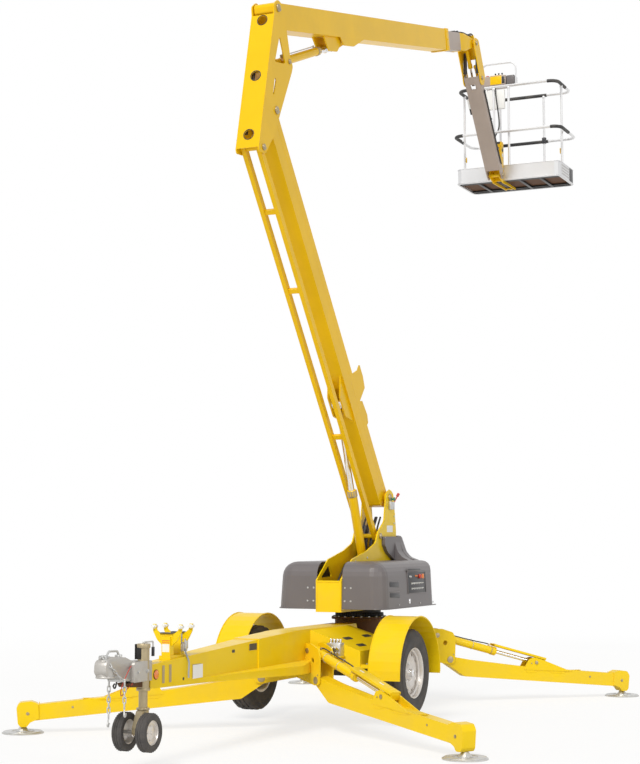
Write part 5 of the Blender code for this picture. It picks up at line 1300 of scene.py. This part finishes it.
def rest_fittings():
    """Boom rest: pale pegs, pads, bare plate, stripes and a strap with its ratchet."""
    pegs = []
    for x in REST_PEGS:
        for side in (-1, 1):
            pegs.append(bar(0.0115, (x - 0.030, x + 0.030), side * 0.104, 0.917, 24, bevel=0.003))
            pegs.append(bar(0.0145, (x - 0.012, x + 0.012), side * 0.104, 0.917, 24, bevel=0.002))
    add("rest_pegs", "chassis", LABEL, pegs)
    add("rest_pads", "chassis", PANEL,
        [block((x - 0.020, x + 0.020), (-0.052, 0.052), (0.8705, 0.8785), 0.003) for x in REST_PEGS])
    add("rest_bare_plate", "chassis", LABEL, [on_sheet(3.4258, (-0.028, 0.028), (0.745, 0.800), 0.0010)])
    add("rest_stripes", "chassis", KNOB_ORANGE, [on_sheet(3.4260, (-0.030, 0.030), (0.806, 0.812), 0.0012),
                                                 on_sheet(3.4260, (-0.030, 0.030), (0.820, 0.826), 0.0012)])
    strap = [
        block((3.228, 3.272), (0.0346, 0.0366), (0.740, 0.880), 0.0006),
        block((3.230, 3.270), (0.0360, 0.0610), (0.800, 0.8045), 0.0010),
        flowing([(3.25, 0.056, 0.800), (3.262, 0.066, 0.740), (3.245, 0.084, 0.670), (3.255, 0.088, 0.600),
                 (3.25, 0.086, 0.560)], 0.006),
    ]
    add("rest_strap", "chassis", STRAP, strap)
    ratchet = [
        block((3.222, 3.278), (0.0368, 0.0600), (0.742, 0.796), 0.004),
        block((3.226, 3.274), (0.0590, 0.0680), (0.760, 0.830), 0.003),
        bar(0.0085, (3.216, 3.284), 0.050, 0.770, 24, bevel=0.001),
    ]
    add("rest_ratchet", "chassis", ZINC, ratchet)


def knuckle_fittings():
    """Knuckle and jib: hose loops and their guide, rims, painted shade between the plates, jib hoses,
    flanges, valve box and an orange inner strip of painted shade.
    """
    loops = []
    for k, y in enumerate((-0.034, -0.011, 0.012, 0.035)):
        lift = 0.010 * k
        loops.append(flowing([(0.060, y, 0.072), (0.00, y, 0.098 + lift * 0.4),
                              (-0.09, y, 0.092 + lift * 0.5), (-0.155, y, 0.020), (-0.186, y, -0.060),
                              (-0.184, y, -0.118)], 0.0078))
    add("knuckle_hoses", "knuckle", HOSE, loops)
    add("knuckle_hose_guide", "knuckle", YELLOW_BOOMS_SHADED,
        [block((-0.085, -0.060), (-0.050, 0.050), (0.060, 0.112), 0.003)])
    rims = []
    outline = [(0.05, 0.05, 0.05), (-0.075, 0.055, 0.05), (-0.285, -0.29, 0.04), (-0.250, -0.40, 0.05),
               (-0.150, -0.42, 0.05), (-0.110, -0.32, 0.03), (0.072, -0.03, 0.05)]
    for side in (-1, 1):
        path = [((a, side * 0.0985, b), r) for a, b, r in outline]
        rims.append(hose(path, 0.0028, True, 2))
    add("knuckle_rims", "knuckle", YELLOW_BOOMS_SHADED, rims)
    # Black blocks between the knuckle's plates: painted shade on the web.
    shade = [block((-0.130, -0.112), (-0.086, -0.050), (-0.300, -0.060), 0.003),
             block((-0.130, -0.112), (0.050, 0.086), (-0.300, -0.060), 0.003)]
    add("knuckle_painted_shade", "knuckle", PANEL, shade)

    run = [
        hose([((0.155, -0.0885, 0.030), 0), ((0.62, -0.0885, 0.026), 0.02), ((1.06, -0.0885, 0.030), 0)],
             0.0075),
        hose([((0.155, -0.0885, 0.014), 0), ((0.62, -0.0885, 0.010), 0.02), ((1.04, -0.0885, 0.014), 0)],
             0.0065),
    ]
    add("jib_hoses", "jib", HOSE, run)
    add("jib_clips", "jib", PANEL, [block((place, place + 0.016), (-0.098, -0.084), (0.000, 0.042), 0.002)
                                    for place in (0.16, 0.50, 0.86)])
    edge = []
    for side in (-1, 1):
        y = side * 0.0815
        edge.append(block((0.10, 0.98), between(y, y - side * 0.022), (0.0460, 0.0496), 0.001))
        edge.append(plate(circle(0.0, 0.0, 0.038, 32), 0.004, side * 0.0855, holes=[circle(0, 0, 0.019)],
                          edge=0.001))
        edge.append(plate(circle(JIB_REACH, 0.0, 0.036, 32), 0.003, side * 0.0850,
                          holes=[circle(JIB_REACH, 0, 0.019)]))
    add("jib_flanges", "jib", JIB_GREY, edge)
    add("jib_valve_box", "jib", LABEL, [block((0.22, 0.33), (0.0855, 0.1100), (-0.050, -0.015), 0.004)])
    add("jib_valve_cap", "jib", PANEL, [block((0.325, 0.40), (0.0860, 0.1080), (-0.048, -0.017), 0.005)])
    add("jib_window_rim", "jib", JIB_GREY,
        [block((0.040, 0.105), (-0.033, 0.033), (-0.0585, -0.0562), 0.0006)],
        cuts=[block((0.046, 0.099), (-0.027, 0.027), (-0.1, 0.0))])
    # Orange strip inside the jib: painted shade of a yellow part behind it.
    add("jib_inner_painted_shade", "jib", KNOB_ORANGE,
        [block((0.30, 0.92), (-0.055, 0.055), (-0.0380, -0.0340), 0.001)])


def platform_fittings():
    """Platform: rubber sleeves, rail feet, tray beads, floor tread, console, pouch and support box."""
    near, depth, low = -0.12, 0.62, -0.035
    far = near - depth
    middle, half = 0.10, 0.61
    left, right = middle - half, middle + half
    rail_top, rail_mid = low + 1.10, low + 0.56

    sleeves = []
    for height, outward in ((rail_top, -0.023), (rail_mid, 0.020)):
        y = half + outward
        x_near, x_far = near + outward, far - outward
        for way in (-1, 1):
            sleeves.append(hose([((x_near - 0.34, middle + way * y, height), 0),
                                 ((x_near, middle + way * y, height), 0.10),
                                 ((x_near, middle + way * (y - 0.11), height), 0)], 0.0195, False, 4))
        sleeves.append(hose([((x_far, middle - 0.30, height), 0), ((x_far, middle + 0.30, height), 0)],
                            0.0195, False, 4))
    add("rail_sleeves", "platform", HOSE, sleeves)
    knobs = [bar(0.026, x, y, (rail_mid - 0.035, rail_mid + 0.035), 28, bevel=0.006)
             for x, y in ((far + 0.028, middle - 0.265), (far + 0.028, middle + 0.265))]
    add("rail_collars", "platform", PANEL, knobs)
    feet = []
    for x, y in ((near - 0.028, middle + 0.0183), (near - 0.028, middle - 0.1586),
                 (far + 0.028, middle - 0.265), (far + 0.028, middle + 0.265), (near - 0.2232, left + 0.028),
                 (near - 0.2232, right - 0.028)):
        feet.append(block((x - 0.024, x + 0.024), (y - 0.024, y + 0.024), (low + 0.0312, low + 0.037),
                          0.001))
        feet.append(bar(0.0185, x, y, (low + 0.036, low + 0.060), 24, bevel=0.002))
        feet.append(bar(0.0185, x, y, (rail_top - 0.034, rail_top - 0.012), 24, bevel=0.002))
    add("rail_feet", "platform", RAIL_WHITE, feet)

    rim = []
    for z in (low + 0.172, low + 0.012):
        path = [((near + 0.0015, left - 0.0015, z), 0.061), ((near + 0.0015, right + 0.0015, z), 0.061),
                ((far - 0.0015, right + 0.0015, z), 0.061), ((far - 0.0015, left - 0.0015, z), 0.061)]
        rim.append(hose(path, 0.0035, True, 2))
    add("tray_beads", "platform", RAIL_WHITE, rim)
    strips = []
    for k in range(4):
        z = low + 0.040 + 0.032 * k
        strips.append(block((near - 0.42, near - 0.10), (right + 0.0002, right + 0.0028), (z, z + 0.010),
                            0.0008))
    add("toe_board_stripes", "platform", CASTING, strips)
    # Black sheet at the toe board's far end: painted shade by its rounded corner.
    add("toe_board_painted_shade", "platform", PANEL,
        [block((far + 0.07, far + 0.20), (right + 0.0002, right + 0.0030), (low + 0.015, low + 0.165),
               0.001)])
    tread = []
    for row in range(9):
        for column in range(17):
            x = near - 0.06 - 0.062 * row
            y = left + 0.07 + 0.067 * column
            way = 1 if (row + column) % 2 else -1
            lay = placed((x, y, low + 0.0312), pi / 4 * way)
            tread.append(moved(block((-0.014, 0.014), (-0.0028, 0.0028), (-0.0008, 0.0012), 0.0006, 1), lay))
    add("floor_tread", "platform", ALUMINIUM, tread)
    # Brown sheet across the floor: painted shade on the platform's underside.
    add("floor_underside_painted_shade", "platform", BROWN_PRIMER_AND_SHADE,
        [block((far + 0.022, near - 0.022), (left + 0.022, right - 0.022), (low + 0.0226, low + 0.0233),
               0.0)])
    ribs = []
    for share in (-0.60, -0.20, 0.20, 0.60):
        y = middle + half * share
        ribs.append(block((far + 0.024, near - 0.024), (y - 0.016, y + 0.016), (low - 0.0006, low + 0.004),
                          0.001))
    for x in (far + 0.045, near - 0.045):
        ribs.append(block((x - 0.014, x + 0.014), (left + 0.045, right - 0.045), (low + 0.0003, low + 0.020),
                          0.001))
    add("floor_rib_caps", "platform", PANEL, ribs)

    top = rail_top + 0.0142
    x_top = near - 0.023
    y_low, y_high = middle - 0.295, middle - 0.01
    add("console_case", "platform", JIB_GREY,
        [block((x_top - 0.169, x_top + 0.009), (y_low + 0.001, y_high - 0.001), (top + 0.001, top + 0.119),
               0.012, 3)], PLATFORM, ("control_console",))
    facing = [block((x_top + 0.0075, x_top + 0.0125), (y_low + 0.100, y_low + 0.235),
                    (top + 0.012, top + 0.108), 0.003),
              block((x_top - 0.150, x_top + 0.002), (y_low + 0.100, y_low + 0.235),
                    (top + 0.117, top + 0.1225), 0.002)]
    add("console_yellow_face", "platform", YELLOW_BOOMS_SHADED, facing)
    dark = [block((x_top + 0.0075, x_top + 0.0120), (y_low + 0.240, y_low + 0.272),
                  (top + 0.018, top + 0.100), 0.003),
            block((x_top - 0.155, x_top - 0.010), (y_low + 0.012, y_low + 0.092),
                  (top + 0.117, top + 0.1215), 0.002)]
    add("console_dark_face", "platform", PANEL, dark)
    add("console_side_box", "platform", COVER,
        [block((x_top - 0.120, x_top + 0.006), (y_high + 0.006, y_high + 0.100), (top + 0.001, top + 0.108),
               0.010, 3)])
    sticks = []
    for y in (y_low + 0.13, y_low + 0.17, y_low + 0.21):
        sticks.append(rod(0.004, (x_top - 0.10, y, top + 0.120), (x_top - 0.095, y, top + 0.158), 14))
        sticks.append(rod(0.009, (x_top - 0.095, y, top + 0.155), (x_top - 0.0945, y, top + 0.172), 20,
                          bevel=0.003))
    add("console_levers", "platform", PANEL, sticks)
    add("console_stop", "platform", KNOB_RED,
        [bar(0.016, x_top - 0.05, y_low + 0.05, (top + 0.121, top + 0.140), 24, bevel=0.003)])
    add("document_pouch", "platform", LABEL,
        [block((near - 0.060, near - 0.030), (middle - 0.30, middle - 0.03),
               (rail_top - 0.26, rail_top - 0.030), 0.012, 3)])
    lead = [flowing([(x_top - 0.02, middle - 0.14, top + 0.002), (x_top + 0.012, middle - 0.13, top - 0.10),
                     (x_top + 0.016, middle - 0.09, rail_mid + 0.10), (near + 0.020, -0.03, rail_mid - 0.05),
                     (near + 0.028, -0.02, 0.42), (near + 0.030, -0.015, 0.34)], 0.008)]
    add("platform_lead", "platform", HOSE, lead)
    brackets = []
    for way in (-1, 1):
        y = between(middle + way * (half - 0.044), middle + way * (half - 0.052))
        brackets.append(block((near - 0.235, near - 0.212), y, (low + 0.30, low + 0.36), 0.002))
    add("lanyard_brackets", "platform", YELLOW_BOOMS_SHADED, brackets)

    mast_body = [
        block((near + 0.018, -0.034), (-0.046, 0.046), (0.20, 0.372), 0.006),
        plate([(near + 0.013, 0.385, 0.004), (-0.033, 0.385, 0.004), (0.030, 0.150, 0.02),
               (0.030, 0.075, 0.01), (near + 0.013, 0.02, 0.01)], 0.005, 0.0625, edge=0.001),
    ]
    add("support_box", "platform", YELLOW_BOOMS_SHADED, mast_body)
    darks = [block((near + 0.020, -0.040), (-0.040, 0.040), (0.372, 0.398), 0.004),
             bar(0.020, -0.06, (0.0640, 0.0700), 0.30, 28, bevel=0.001)]
    add("support_dark_top", "platform", PANEL, darks)
    add("support_bare_plate", "platform", LABEL, [on_sheet((near + 0.030, -0.050), 0.0657, (0.225, 0.262))])
    grips = []
    for z in (0.09, 0.34):
        for side in (-1, 1):
            grips += bolt((-0.085, side * (0.0590 if side < 0 else 0.0650), z), (0, side, 0), 0.006)
    add("support_bolts", "platform", ZINC, grips)


def details():
    """All the fittings, in the order in which they are made."""
    for side, name in ((1, "left"), (-1, "right")):
        tyre_and_rim(side, name)
    for name in LEG_TURN:
        outrigger_fittings(name)
    pivots()
    booms()
    riser_fittings()
    cover_fittings()
    turret_fittings()
    slew_ring()
    drawbar_fittings()
    chassis_fittings()
    coupler_fittings()
    jack_fittings()
    rest_fittings()
    knuckle_fittings()
    platform_fittings()


light_and_camera()
finish_solids()
details()
